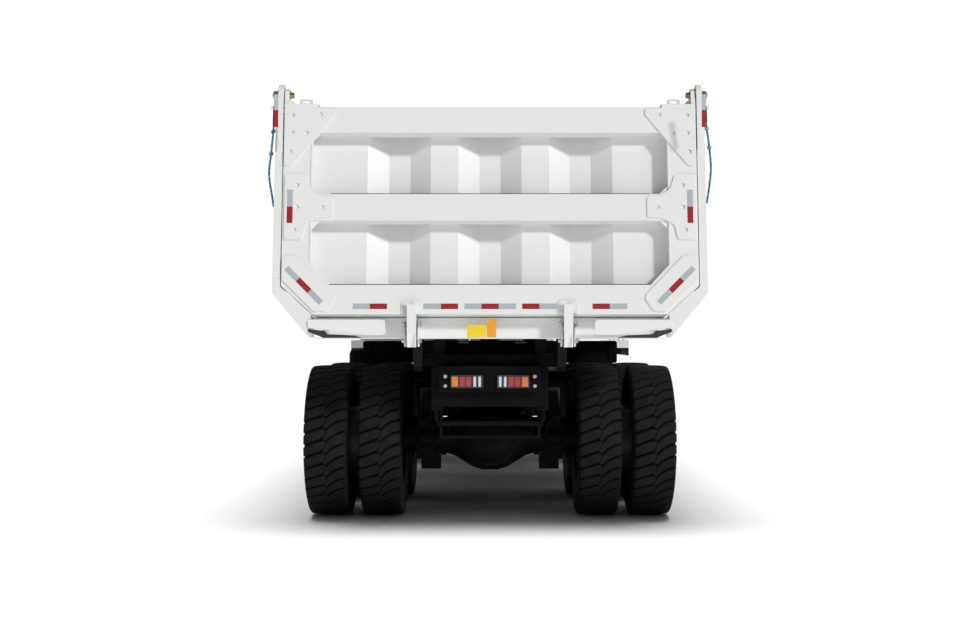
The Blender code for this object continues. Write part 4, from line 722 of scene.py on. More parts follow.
FINISHES = {
    "white_paint": white_paint(),
    "chassis_paint": chassis_paint(),
    "rim_paint": rim_paint(),
    "tyre_rubber": tyre_rubber(),
    "cast_metal": cast_metal(),
    "hard_chrome": hard_chrome(),
    "bright_steel": bright_steel(),
    "zinc_yellow": zinc_yellow(),
    "tinted_glass": tinted_glass(),
    "seat_fabric": seat_fabric(),
    "blue_rope": blue_rope(),
    "black_plastic": black_plastic(),
    "black_rubber": black_rubber(),
    "red_reflective": reflective_sheet("red_reflective", (0.33, 0.008, 0.012), (0.42, 0.025, 0.03)),
    "silver_reflective": reflective_sheet("silver_reflective", (0.40, 0.43, 0.47), (0.56, 0.60, 0.65)),
    "red_lens": lens("red_lens", (0.30, 0.008, 0.010), (0.50, 0.03, 0.03)),
    "amber_lens": lens("amber_lens", (0.62, 0.15, 0.02), (0.80, 0.26, 0.05)),
    "clear_lens": lens("clear_lens", (0.55, 0.56, 0.62), (0.85, 0.86, 0.92)),
    "yellow_sticker": film("yellow_sticker", (0.84, 0.62, 0.02), (0.70, 0.50, 0.02)),
    "orange_sticker": film("orange_sticker", (0.80, 0.34, 0.02), (0.66, 0.26, 0.02)),
}


SILL_LIP, SILL_FRONT = 1.609, -4.28


def body_floor_paint_and_shade():
    """White enamel above the sill's lip and on the sill, with painted shade in near black under the rest of the
    floor.
    """
    made = Finish("body_floor_paint_and_shade", (0.79, 0.80, 0.785), 0.42, Specular_IOR_Level=0.15)
    wires = made.wires
    level = wires.node("SeparateXYZ", Vector=wires.node("TexCoord").outputs["Object"]).outputs
    low = wires.math("LESS_THAN", level["Z"], SILL_LIP)
    under = wires.math("MULTIPLY", low, wires.math("GREATER_THAN", level["Y"], SILL_FRONT))
    # painted shade: below the lip and forward of the sill, the floor is made near black
    made.colour = wires.mix(under, made.colour, (0.002, 0.002, 0.002, 1))
    made.tone(0.9, 0.018, 0.10)
    return made.grain(95.0, 0.00035).done()


for part in frame["record"]["subparts"]:
    solid = frame["nodes"][part["node"]].data
    solid.materials.clear()
    solid.materials.append(FINISHES[part["material_slot"]])
frame["nodes"]["dump_floor"].data.materials[0] = body_floor_paint_and_shade()

# ---- ropes --------------------------------------------------------------------

ROPE_Y, ROPE_RADIUS, ROPE_TOP = -4.14, 0.009, 3.5427
RING_LEVEL = 3.555
ROPES = {
    "left": (
        (-1.817, 3.535), (-1.820, 3.44), (-1.824, 3.353), (-1.834, 3.26), (-1.842, 3.165),
        (-1.853, 3.09), (-1.860, 3.009), (-1.853, 2.918), (-1.836, 2.818), (-1.822, 2.72),
    ),
    "right": (
        (1.817, 3.535), (1.819, 3.46), (1.824, 3.38), (1.836, 3.30), (1.846, 3.22),
        (1.855, 3.13), (1.860, 3.04), (1.852, 2.94), (1.838, 2.84), (1.824, 2.75),
    ),
}
KNOTS = {"left": (3.353, 3.165), "right": (3.38, 3.22)}


def rope_line(side):
    """The rope's middle line, from its ring down to the bare end."""
    places = [Vector((x, ROPE_Y, z)) for x, z in ROPES[side]]
    places[0].z = ROPE_TOP
    line = []
    last = len(places) - 1
    for i in range(last):
        here, there = places[i], places[i + 1]
        out = (there - places[max(i - 1, 0)]) / 2
        into = (places[min(i + 2, last)] - here) / 2
        for k in range(3):
            t = k / 3
            a, b = 2 * t ** 3 - 3 * t ** 2 + 1, t ** 3 - 2 * t ** 2 + t
            line.append(here * a + out * b + there * (1 - a) + into * (t ** 3 - t ** 2))
    return line + [places[-1]]


def make_rope(side):
    line = rope_line(side)
    knots = Shape()
    for level in KNOTS[side]:
        spot = min(line, key=lambda point: abs(point.z - level))
        for turn, lean in ((0, 0.5), (2.1, -0.4), (4.2, 0.3)):
            place = Matrix.Translation(spot + Vector((0, 0, 0.012 * lean)))
            place = place @ Matrix.Rotation(turn, 4, "Z") @ Matrix.Rotation(lean, 4, "X")
            turns = (k * math.pi / 4 for k in range(8))
            loop = [(0.0105 + 0.0088 * math.cos(t), 0.0085 * math.sin(t)) for t in turns]
            knots.turned(loop, place, 20, ring=True)
    knotted = knots.piece(f"rope_knots_{side}", "blue_rope", "dump_body")
    curve = bpy.data.curves.new(f"rope_run_{side}", "CURVE")
    curve.dimensions, curve.bevel_depth, curve.bevel_resolution = "3D", ROPE_RADIUS, 4
    curve.use_fill_caps = True
    spline = curve.splines.new("POLY")
    spline.points.add(len(line) - 1)
    for point, spot in zip(spline.points, line):
        point.co = (*spot, 1)
    rope = put(f"rope_run_{side}", curve, "blue_rope", "dump_body", [f"rope_{side}"])
    sleeve = Shape()
    sleeve.tube(line[:5], ROPE_RADIUS + 0.0008, 4, smooth=False)
    bound = sleeve.piece(f"rope_sleeve_{side}", "black_rubber", "dump_body")
    loop = Shape()
    place = Matrix.Translation((line[0].x, ROPE_Y, RING_LEVEL)) @ AXES["X"]
    loop.turned(circle(0.0165, 0, 0.004, 8), place, 24, ring=True)
    loop.piece(f"rope_grommet_{side}", "black_rubber", "dump_body")


for side, _ in SIDES:
    make_rope(side)

# ---- tyres --------------------------------------------------------------------

LUGS, LUG_SHARE = 40, 0.77
CREST, GROOVE = 0.6843, 0.6540
# from the tread's middle out: distance across, radius on top, radius at the root, the root's distance across
# and the lug's share of its full width
LUG_LINE = (
    (-0.013, 0.6828, 0.6500, -0.013, 0.10), (0.004, 0.6838, 0.6500, 0.004, 0.62),
    (0.018, 0.6843, 0.6500, 0.018, 1.0), (0.055, 0.6840, 0.6500, 0.055, 1.0),
    (0.100, 0.6822, 0.6500, 0.100, 1.0), (0.140, 0.6790, 0.6480, 0.138, 1.0),
    (0.1690, 0.6745, 0.6450, 0.158, 1.0), (0.1790, 0.6660, 0.6380, 0.163, 0.98),
    (0.1865, 0.6380, 0.6150, 0.172, 0.92), (0.1912, 0.6080, 0.5900, 0.178, 0.84),
    (0.1905, 0.5800, 0.5650, 0.180, 0.70),
)
# half of the carcass's section from the bead out: radius, distance across
CARCASS = (
    (0.3185, 0.118), (0.335, 0.131), (0.345, 0.139), (0.352, 0.139), (0.360, 0.150), (0.395, 0.170),
    (0.400, 0.1735), (0.408, 0.1725), (0.460, 0.186), (0.500, 0.1898), (0.505, 0.1918), (0.516, 0.1918),
    (0.521, 0.1900),
    (0.560, 0.1885), (0.600, 0.1820), (0.628, 0.1745), (0.645, 0.1650), (0.6520, 0.1480), (GROOVE, 0.1200),
    (GROOVE, 0.0),
)


def lug_rise(across):
    """How far up the wheel's back a lug has climbed at this distance to the right."""
    if across < 0:
        return 0.36 * across
    return 0.105 * (1 - math.exp(-across / 0.065)) + 0.10 * across


def add_lug(form, hand, angle):
    rims = []
    for far, top, root, root_far, share in LUG_LINE:
        middle = angle + lug_rise(hand * far) / CREST
        half = math.pi / LUGS * LUG_SHARE * share
        ring = []
        for radius, x, spread in ((root, root_far, 1.06), (top - 0.003, far, 1.0), (top, far, 0.965)):
            for way in (-1, 1):
                turn = middle + way * half * spread
                spot = (hand * x, -radius * math.cos(turn), radius * math.sin(turn))
                ring.append(form.verts.new(spot))
        rims.append((ring[0], ring[2], ring[4], ring[5], ring[3], ring[1]))
    for before, after in zip(rims, rims[1:]):
        for k in range(6):
            form.faces.new((before[k], before[k - 1], after[k - 1], after[k]))
    form.faces.new(rims[0])
    form.faces.new(rims[-1][::-1])


def make_tyre_mesh():
    """A drive tyre with slanting lugs that interlock along its middle and run down both shoulders."""
    shape = Shape()
    outline = [*CARCASS, *((radius, -z) for radius, z in CARCASS[-2::-1])]
    shape.turned(outline, AXES["X"], 96, ring=True)
    lugs = bmesh.new()
    pitch = 2 * math.pi / LUGS
    for i in range(LUGS):
        add_lug(lugs, 1, pitch * (i + 0.5))
        add_lug(lugs, -1, pitch * i)
    bmesh.ops.recalc_face_normals(lugs, faces=lugs.faces)
    shape.take(lugs)
    for i in range(8):
        turn = Matrix.Rotation(i * math.pi / 4 + 0.2, 4, "X")
        for hand in (-1, 1):
            ends = sorted((hand * 0.184, hand * 0.1915))
            shape.block((ends[0], -0.018, 0.484), (ends[1], 0.018, 0.494), 0.002, turn)
    mesh = bpy.data.meshes.new("drive_tyre")
    shape.form.to_mesh(mesh)
    shape.form.free()
    mesh.shade_smooth()
    mesh.set_sharp_from_angle(angle=math.radians(28))
    return mesh


TYRE = make_tyre_mesh()


def middle_of(node):
    low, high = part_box(node)
    return (low + high) / 2


def make_tyre(node, body):
    put(f"{node}_tread", TYRE, "tyre_rubber", body, [node], Matrix.Translation(middle_of(node)))


# ---- rims ---------------------------------------------------------------------

WHEEL_NUTS, NUT_CIRCLE = 10, 0.1675
HAND_HOLES, HOLE_CIRCLE = 10, 0.248
AXLE_LEVEL = 0.685


def side_frame(spot, hand):
    """A frame at a wheel's middle whose Z points out of the truck's side."""
    return Matrix.Translation(spot) @ Matrix.Rotation(math.radians(90 * hand), 4, "Y")


def hand_holes(shape, place, level):
    """Raised rings on a rim's disc, where its hand holes are."""
    collar = [(0.021, 0), (0.030, 0), (0.030, 0.005), (0.025, 0.007), (0.021, 0.005)]
    for i in range(HAND_HOLES):
        turn = Matrix.Rotation(2 * math.pi * (i + 0.5) / HAND_HOLES, 4, "Z")
        spot = place @ turn @ Matrix.Translation((HOLE_CIRCLE, 0, level))
        shape.turned(collar, spot, 20, ring=True)


def wheel_nuts(shape, place, level):
    for i in range(WHEEL_NUTS):
        turn = place @ Matrix.Rotation(2 * math.pi * i / WHEEL_NUTS, 4, "Z")
        seat = turn @ Vector((NUT_CIRCLE, 0, level))
        out = turn.to_3x3() @ Vector((0, 0, 1))
        shape.bolt(seat, out, 0.032, 0.3 * i)
        shape.rod(seat + out * 0.018, seat + out * 0.036, 0.010, 12, edge=0.002)


def make_twin_rim(name, side, hand, body):
    middle = Vector((hand * 1.208, middle_of(f"{name}_twin_rim_{side}").y, AXLE_LEVEL))
    place = side_frame(middle, hand)
    rim = Shape()
    section = [
        (0.296, -0.030), (0.299, -0.060), (0.2965, -0.200), (0.299, -0.340), (0.302, -0.366), (0.3165, -0.3745),
        (0.318, -0.362), (0.318, -0.106), (0.308, -0.098), (0.308, 0.098), (0.318, 0.106), (0.318, 0.362),
        (0.3165, 0.3745), (0.302, 0.366), (0.299, 0.340), (0.2965, 0.200), (0.299, 0.060), (0.296, 0.036),
        (0.285, 0.031), (0.215, 0.030), (0.160, 0.032), (0.160, 0.020), (0.160, -0.030), (0.206, -0.034),
        (0.206, -0.400), (0.205, -0.4075),
    ]
    rim.turned(section, place, 72, ring=True)
    hand_holes(rim, place, 0.029)
    rim.turned([(0.302, 0.360), (0.3085, 0.366), (0.304, 0.372), (0.299, 0.364)], place, 72, ring=True)
    rim.piece(f"{name}_rim_shell_{side}", "rim_paint", body, [f"{name}_twin_rim_{side}"])
    hub = Shape()
    hub.turned(
        [(0, 0.2995), (0.080, 0.2995), (0.106, 0.294), (0.116, 0.284), (0.118, 0.262), (0.138, 0.252),
         (0.146, 0.240), (0.150, 0.060), (0.160, 0.030), (0.160, 0.0), (0, 0.0)],
        place, 48,
    )
    for i in range(6):
        turn = place @ Matrix.Rotation(math.pi * i / 3, 4, "Z")
        hub.block((0.112, -0.007, 0.06), (0.156, 0.007, 0.24), 0.003, turn)
    hub.piece(f"{name}_hub_drive_{side}", "cast_metal", body)
    nuts = Shape()
    wheel_nuts(nuts, place, 0.030)
    out = place.to_3x3() @ Vector((0, 0, 1))
    for i in range(12):
        turn = place @ Matrix.Rotation(math.pi * i / 6, 4, "Z")
        nuts.bolt(turn @ Vector((0.128, 0, 0.2545)), out, 0.017)
    nuts.rod(place @ Vector((0.05, 0, 0.288)), place @ Vector((0.05, 0, 0.2998)), 0.016, 6)
    nuts.piece(f"{name}_wheel_nuts_{side}", "bright_steel", body)
    valve = Shape()
    bends = ((0.285, 0.03, 0.05), (0.272, 0.03, 0.12), (0.276, 0.03, 0.27))
    valve.tube([place @ Vector(bend) for bend in bends], 0.0045)
    valve.rod(place @ Vector((0.276, 0.03, 0.265)), place @ Vector((0.277, 0.03, 0.290)), 0.0065, 12)
    valve.piece(f"{name}_valve_{side}", "bright_steel", body)


def make_front_rim(side, hand):
    body = f"front_wheel_{side}"
    place = side_frame(middle_of(f"front_tyre_{side}"), hand)
    rim = Shape()
    section = [
        (0.296, 0.120), (0.3165, 0.1345), (0.318, 0.122), (0.318, -0.122), (0.3165, -0.1345),
        (0.300, -0.125), (0.298, -0.020), (0.205, -0.012), (0.130, 0.012), (0.112, 0.030), (0.112, 0.046),
        (0.134, 0.041), (0.210, 0.018), (0.285, 0.016), (0.294, 0.024),
    ]
    rim.turned(section, place, 72, ring=True)
    hand_holes(rim, place, 0.014)
    rim.piece(f"front_rim_shell_{side}", "rim_paint", body, [f"front_rim_{side}"])
    hub = Shape()
    cap = [
        (0, 0.099), (0.070, 0.099), (0.082, 0.092), (0.084, 0.074), (0.104, 0.068), (0.108, 0.050),
        (0.112, 0.0), (0.112, -0.02), (0.188, -0.024), (0, 0.0),
    ]
    hub.turned(cap, place, 40)
    drum = [
        (0.115, -0.020), (0.186, -0.024), (0.190, -0.036), (0.190, -0.108), (0.184, -0.1135), (0.120, -0.1135),
    ]
    hub.turned(drum, place, 48, ring=True)
    hub.piece(f"front_hub_{side}", "cast_metal", body)
    nuts = Shape()
    wheel_nuts(nuts, place, 0.028)
    out = place.to_3x3() @ Vector((0, 0, 1))
    for i in range(6):
        turn = place @ Matrix.Rotation(math.pi * i / 3, 4, "Z")
        nuts.bolt(turn @ Vector((0.094, 0, 0.070)), out, 0.014)
    nuts.piece(f"front_wheel_nuts_{side}", "bright_steel", body)


for side, hand in SIDES:
    make_tyre(f"front_tyre_{side}", f"front_wheel_{side}")
    make_front_rim(side, hand)
    for name in ("middle", "rear"):
        wheel = f"{name}_twin_wheel_{side}"
        make_tyre(f"{name}_inner_tyre_{side}", wheel)
        make_tyre(f"{name}_outer_tyre_{side}", wheel)
        make_twin_rim(name, side, hand, wheel)

# ---- tailgate -----------------------------------------------------------------

TAIL_LEAN = math.radians(7.8)
GATE_FOOT = 1.81
TAIL = Matrix.Translation((0, -4.40, GATE_FOOT)) @ Matrix.Rotation(-TAIL_LEAN, 4, "X")
BEAMS = ((0.0, 0.248), (0.790, 1.016), (1.542, 1.763))
WELD = 0.0065
LATCH_X = 0.645


def gate_level(height):
    """The distance up the gate at which its rear face stands at a height over the ground."""
    return (height - GATE_FOOT) / math.cos(TAIL_LEAN)


def mirrored(points, hand):
    """The outline as drawn for the right side, or its mirror image for the left."""
    return [(hand * p[0], *p[1:]) for p in points]


def on_gate(shape, outlines, low, high, edge=0.002):
    """A plate on the gate, drawn as (across, up), between two depths behind its rear face."""
    shape.plate(outlines, "Y", low, high, edge, TAIL)


def gate_outline(points, hand):
    return [(x, gate_level(z), *rest) for x, z, *rest in mirrored(points, hand)]


def corner_plates(shape, hand):
    """The plates welded in the gate's corners, with their round holes."""
    upper = [(1.722, 3.548, 0.02), (1.300, 3.548, 0.03), (1.300, 3.490, 0.03), (1.632, 3.085, 0.04),
             (1.665, 3.055, 0.03), (1.722, 3.055, 0.02)]
    holes = [(1.655, 3.485), (1.42, 3.492), (1.655, 3.335), (1.535, 3.335), (1.668, 3.175)]
    middle = [(1.712, 2.985, 0.02), (1.540, 2.985, 0.04), (1.500, 2.860, 0.08), (1.420, 2.800, 0.05),
              (1.305, 2.795, 0.03), (1.305, 2.618, 0.03), (1.430, 2.610, 0.05), (1.530, 2.560, 0.06),
              (1.560, 2.430, 0.03), (1.712, 2.430, 0.02)]
    spots = [(1.605, 2.89), (1.605, 2.705), (1.395, 2.705), (1.625, 2.515)]
    lower = [(1.722, 2.285, 0.05), (1.722, 2.100, 0.03), (1.455, 1.834, 0.03), (1.345, 1.834, 0.06),
             (1.268, 1.955, 0.05), (1.600, 2.300, 0.07), (1.665, 2.300, 0.05)]
    for outline, openings in ((upper, holes), (middle, spots), (lower, [])):
        rim = rounded(gate_outline(outline, hand), 0.02)
        rings = [circle(hand * x, gate_level(z), 0.017) for x, z in openings]
        on_gate(shape, [rim, *rings], -0.010, 0.002)


def gate_gussets(shape, hand):
    """Triangles across the corners of the panel's openings."""
    for low, high in ((BEAMS[0][1], BEAMS[1][0]), (BEAMS[1][1], BEAMS[2][0])):
        for level, way in ((low, 1), (high, -1)):
            if hand > 0 and level == low and low < 0.3:
                continue
            corner = [(hand * 1.487, level - way * 0.002), (hand * 1.407, level - way * 0.002),
                      (hand * 1.487, level + way * 0.078)]
            on_gate(shape, [corner], 0.010, 0.024, 0.001)


def gate_welds(shape):
    """Beads where the beams meet the panel and the posts, and plate seams along the posts."""
    for low, high in BEAMS:
        for level in (low, high):
            if 0.1 < level < 1.7:
                ends = [TAIL @ Vector((x, 0.1185, level)) for x in (-1.47, 1.47)]
                shape.rod(*ends, WELD, 8)
        for hand in (-1, 1):
            if low > 0.1:
                ends = [TAIL @ Vector((hand * 1.487, -0.001, v)) for v in (low + 0.01, high - 0.01)]
                shape.rod(*ends, 0.0035, 8)
    for hand in (-1, 1):
        for low, high in ((0.43, 0.79), (1.016, 1.542)):
            edge = [(hand * 1.4835, low), (hand * 1.4965, low), (hand * 1.4965, high), (hand * 1.4835, high)]
            on_gate(shape, [edge], -0.004, 0.03, 0.0015)


def gate_tapes():
    tapes = {"red": [], "silver": []}
    row = [
        (-1.13, "silver"), (-0.99, "red"), (-0.55, "silver"), (-0.405, "red"), (-0.21, "silver"),
        (-0.07, "red"), (0.073, "silver"), (0.265, "red"), (0.408, "silver"), (0.845, "red"), (0.988, "silver"),
    ]
    low, high = gate_level(1.855), gate_level(1.900)
    for x0, tint in row:
        x1 = x0 + 0.142
        tapes[tint].append(([(x0, low), (x1, low), (x1, high), (x0, high)], -0.0015))
    for hand in (-1, 1):
        for bottom, top, tint in ((2.57, 2.708, "red"), (2.708, 2.85, "silver")):
            box = gate_outline([(1.640, bottom), (1.688, bottom), (1.688, top), (1.640, top)], hand)
            tapes[tint].append((box, -0.0114))
        start, end = Vector((1.392, 1.905)), Vector((1.682, 2.195))
        lean = (end - start).normalized().orthogonal() * 0.0235
        for first, last, tint in ((0.0, 0.333, "silver"), (0.333, 0.667, "red"), (0.667, 1.0, "silver")):
            a, b = start.lerp(end, first), start.lerp(end, last)
            ring = [tuple(a - lean), tuple(b - lean), tuple(b + lean), tuple(a + lean)]
            tapes[tint].append((gate_outline(ring, hand), -0.0114))
    for tint, outlines in tapes.items():
        shape = Shape()
        for outline, depth in outlines:
            on_gate(shape, [outline], depth, depth + 0.0015, 0.0002)
        shape.piece(f"gate_tape_{tint}", f"{tint}_reflective", "tailgate")


def gate_pads(shape):
    """Stiffeners on the lower beam over the latches."""
    for hand in (-1, 1):
        x = hand * LATCH_X
        pad = [
            (x - 0.085, 0.004, 0.01), (x + 0.085, 0.004, 0.01), (x + 0.085, 0.118, 0.03),
            (x - 0.085, 0.118, 0.03),
        ]
        on_gate(shape, [rounded(pad, 0.02)], -0.010, 0.002)


plates = Shape()
for _, hand in SIDES:
    corner_plates(plates, hand)
    gate_gussets(plates, hand)
gate_welds(plates)
gate_pads(plates)
plates.piece("gate_plates", "white_paint", "tailgate", smooth=15)
# Painted shade: thin black rods along the tops of the lower and middle beams stand in for the dark line there.
seams = Shape()
for level in (BEAMS[0][1], BEAMS[1][1]):
    ends = [TAIL @ Vector((x, 0.007, level + 0.003)) for x in (-1.33, 1.33)]
    seams.rod(*ends, 0.0042, 8)
seams.piece("beam_shade_lines", "black_rubber", "tailgate")
gate_tapes()

# ---- latches, hinges and the body's rear end ----------------------------------

HINGE_Y, HINGE_Z = -4.08, 3.669


def latch_hooks():
    """Twin hook arms on the gate, which reach down between the body's cheeks."""
    arms, bolts = Shape(), Shape()
    for hand in (-1, 1):
        x = hand * LATCH_X
        for way in (-1, 1):
            low = x + way * 0.0375
            outline = rounded(
                [(-4.4445, 1.925), (-4.432, 1.925), (-4.400, 1.80), (-4.372, 1.70), (-4.372, 1.585),
                 (-4.4445, 1.545)], 0.008,
            )
            ends = sorted((low, low - way * 0.012))
            arms.plate([outline], "X", *ends, 0.002)
        arms.rod((x - 0.036, -4.410, 1.60), (x + 0.036, -4.410, 1.60), 0.013, 20)
        for level in (1.73, 1.592):
            for way in (-1, 1):
                seat = (x + way * 0.0615, -4.385, level)
                bolts.bolt(seat, (way, 0, 0), 0.030, 0.3)
    arms.piece("latch_hook_plates", "white_paint", "tailgate")
    bolts.piece("latch_bolts", "bright_steel", "dump_body")


def hinge_parts():
    """The gate's hinge nuts, the tape behind the posts and the gate's lifting eyes."""
    nuts, white, tape = Shape(), Shape(), {"red": Shape(), "silver": Shape()}
    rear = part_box("dump_side_right")[0].y
    for hand in (-1, 1):
        nuts.bolt((hand * 1.7805, HINGE_Y, HINGE_Z), (hand, 0, 0), 0.068)
        nuts.rod((hand * 1.82, HINGE_Y, HINGE_Z), (hand * 1.838, HINGE_Y, HINGE_Z), 0.017, 16, edge=0.002)
        nuts.bolt((hand * 1.6895, HINGE_Y, HINGE_Z), (-hand, 0, 0), 0.046)
        for low, high, tint in ((3.49, 3.62, "silver"), (3.35, 3.49, "red")):
            ends = sorted((hand * 1.740, hand * 1.775))
            tape[tint].block((ends[0], rear - 0.0005, low), (ends[1], rear + 0.001, high), 0.0002)
    nuts.piece("hinge_nuts", "zinc_yellow", "dump_body")
    for tint, shape in tape.items():
        shape.piece(f"post_tape_{tint}", f"{tint}_reflective", "dump_body")
    for hand in (-1, 1):
        left, right = sorted((hand * 1.495, hand * 1.605))
        rim = oblong((left, 3.582), (right, 3.632), 0.018)
        left, right = sorted((hand * 1.520, hand * 1.580))
        hole = oblong((left, 3.598), (right, 3.618), 0.008)
        white.plate([rim, hole], "Y", -4.106, -4.094, 0.002)
        gusset = mirrored([(1.690, 3.582), (1.690, 3.64), (1.625, 3.582)], hand)
        white.plate([gusset], "Y", -4.10, -4.088, 0.001)
    white.piece("lifting_eyes", "white_paint", "tailgate")


def sill_details():
    """The rear sill: its lip, the raised plates at its ends, black plates of painted shade in the hollows of
    its lower corners, and the blank stickers.
    """
    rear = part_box("dump_floor")[0].y
    white, black = Shape(), Shape()
    for hand in (-1, 1):
        end = mirrored([(0.862, 1.640, 0.03), (1.02, 1.640, 0.03), (1.10, 1.655, 0.03), (1.40, 1.690, 0.02),
                        (1.50, 1.700, 0.02), (1.50, 1.768, 0.02), (0.862, 1.768, 0.03)], hand)
        white.plate([rounded(end, 0.02)], "Y", rear - 0.009, rear + 0.004, 0.002)
        # painted shade: a black plate where the corner's hollow lies in shadow
        notch = mirrored([(1.02, 1.612), (1.12, 1.638), (1.335, 1.648), (1.360, 1.676), (1.498, 1.690),
                          (1.498, 1.668), (1.40, 1.630), (1.36, 1.612)], hand)
        black.plate([notch], "Y", rear - 0.0035, rear + 0.002, 0.001)
    for low, high in ((-1.44, -0.74), (-0.56, 0.56), (0.74, 1.44)):
        white.rod((low, rear - 0.001, 1.614), (high, rear - 0.001, 1.614), 0.0045, 10)
    white.piece("sill_plates", "white_paint", "dump_body", smooth=15)
    black.piece("sill_notch_shade", "black_plastic", "dump_body")
    labels = (("yellow", (-0.19, 1.622), (-0.03, 1.725)), ("orange", (-0.026, 1.622), (0.05, 1.775)))
    for name, low, high in labels:
        sheet = Shape()
        sheet.plate([oblong(low, high, 0.006)], "Y", rear - 0.0012, rear, 0.0002)
        sheet.piece(f"{name}_label", f"{name}_sticker", "dump_body")


latch_hooks()
hinge_parts()
sill_details()

# ---- rear lamps and chassis end -----------------------------------------------


def lamp_cluster(hand):
    """One rear lamp: a dark housing with amber, red and white windows."""
    side = "right" if hand > 0 else "left"
    middle, low, high = hand * 0.197, 1.197, 1.297
    rear = -4.048
    house = Shape()
    rim = oblong((middle - 0.138, low - 0.006), (middle + 0.138, high + 0.006), 0.012)
    windows = [
        ("amber", 0.072, 0.128), ("red", 0.014, 0.062), ("red", -0.040, 0.008), ("clear", -0.080, -0.056),
        ("clear", -0.122, -0.098),
    ]
    holes = []
    for _, inner, outer in windows:
        ends = sorted((middle + hand * inner, middle + hand * outer))
        holes.append(oblong((ends[0], low + 0.006), (ends[1], high - 0.006), 0.005))
    house.plate([rim, *holes], "Y", rear - 0.030, rear, 0.002)
    house.block((middle - 0.134, rear - 0.012, low), (middle + 0.134, rear + 0.010, high), 0.002)
    house.piece(f"lamp_housing_{side}", "black_plastic", "chassis")
    for colour in ("amber", "red", "clear"):
        glass = Shape()
        for (tint, _, _), hole in zip(windows, holes):
            if tint == colour:
                glass.plate([hole], "Y", rear - 0.0265, rear - 0.010, 0.0015)
        glass.piece(f"{colour}_window_{side}", f"{colour}_lens", "chassis")


def chassis_end():
    screws, dark = Shape(), Shape()
    for hand in (-1, 1):
        lamp_cluster(hand)
        for level in (1.21, 1.29):
            screws.bolt((hand * 0.38, -4.0505, level), (0, -1, 0), 0.020)
    screws.piece("panel_screws", "bright_steel", "chassis")
    dark.block((-0.43, -4.0515, 1.368), (0.43, -4.030, 1.377), 0.002)
    for hand in (-1, 1):
        dark.tube([(hand * 0.25, -4.03, 1.20), (hand * 0.27, -3.99, 1.14), (hand * 0.30, -3.90, 1.10),
                   (hand * 0.42, -3.70, 1.12)], 0.007)
        dark.block((hand * 0.46 - 0.012, -3.985, 0.90), (hand * 0.46 + 0.012, -3.90, 1.02), 0.004)
    dark.rod((-0.43, -3.94, 0.885), (0.43, -3.94, 0.885), 0.024, 24)
    dark.rod((-0.43, -3.90, 0.765), (0.43, -3.90, 0.765), 0.016, 24)
    for hand in (-1, 1):
        dark.rod((hand * 0.42, -3.94, 1.02), (hand * 0.42, -3.90, 0.75), 0.014, 12)
    dark.piece("chassis_end_tubes", "chassis_paint", "chassis")


def drive_axle(name, y):
    """A cast housing: tube, belled bowl, cover and its ring of bolts, with brake chambers."""
    shape = Shape()
    level = AXLE_LEVEL
    profile = [(0, -0.80), (0.118, -0.80), (0.118, -0.42), (0.128, -0.36), (0.165, -0.28), (0.215, -0.19),
               (0.262, -0.10), (0.280, 0.0), (0.262, 0.10), (0.215, 0.19), (0.165, 0.28), (0.128, 0.36),
               (0.118, 0.42), (0.118, 0.80), (0, 0.80)]
    place = Matrix.Translation((0, y, level)) @ Matrix.Diagonal((1, 0.86, 1, 1)) @ AXES["X"]
    shape.turned(profile, place, 56)
    rear = Matrix.Translation((0, y - 0.205, level)) @ Matrix.Rotation(math.radians(90), 4, "X")
    shape.turned([(0, 0.075), (0.10, 0.070), (0.17, 0.045), (0.205, 0.010), (0.222, 0.008), (0.222, -0.012),
                  (0, -0.02)], rear, 48)
    for i in range(14):
        t = 2 * math.pi * i / 14
        shape.bolt((0.213 * math.cos(t), y - 0.213, level + 0.213 * math.sin(t)), (0, -1, 0), 0.020, t)
    for hand in (-1, 1):
        for x in (0.38, 0.56):
            shape.rod((hand * x, y - 0.17, level + 0.10), (hand * x, y - 0.15, level + 0.20), 0.012, 12)
        ends = [(hand * x, y - 0.145, level + 0.02) for x in (0.52, 0.64)]
        shape.rod(*ends, 0.075, 32, edge=0.008)
    shape.piece(f"{name}_housing", "chassis_paint", "chassis")


def dark_shields():
    """Mudguard flaps, a cross plate and fittings under the body, and the plates over the front wheels."""
    shield = Shape()
    for hand in (-1, 1):
        ends = sorted((hand * 0.51, hand * 1.38))
        flap = oblong((ends[0], 1.35), (ends[1], 1.592), 0.03)
        shield.plate([flap], "Y", -0.812, -0.800, 0.002)
        for x in (0.60, 0.95, 1.30):
            shield.block((hand * x - 0.012, -0.835, 1.41), (hand * x + 0.012, -0.810, 1.585), 0.003)
        shield.rod((hand * 0.50, -0.79, 1.30), (hand * 0.80, -0.79, 1.44), 0.018, 16)
    shield.plate([oblong((-0.60, 1.365), (0.60, 1.596), 0.02)], "Y", -2.90, -2.888, 0.002)
    shield.piece("mudguard_flaps", "chassis_paint", "chassis")
    fittings = Shape()
    for x in (-0.23, 0.27):
        fittings.block((x - 0.045, -3.62, 1.570), (x + 0.045, -3.60, 1.590), 0.004)
        for way in (-0.03, 0.0, 0.03):
            fittings.block((x + way - 0.008, -3.63, 1.573), (x + way + 0.008, -3.62, 1.587), 0.003)
    fittings.piece("underbody_fittings", "cast_metal", "chassis")
    fascia = Shape()
    for low, high in ((-1.80, -1.10), (1.43, 1.80)):
        fascia.plate([oblong((low, 1.497), (high, 1.598), 0.012)], "Y", 2.040, 2.052, 0.002)
    fascia.piece("fender_fascia", "white_paint", "chassis")


chassis_end()
dark_shields()
drive_axle("rear_axle", -3.05)
drive_axle("middle_axle", -1.55)

# ---- seat ---------------------------------------------------------------------


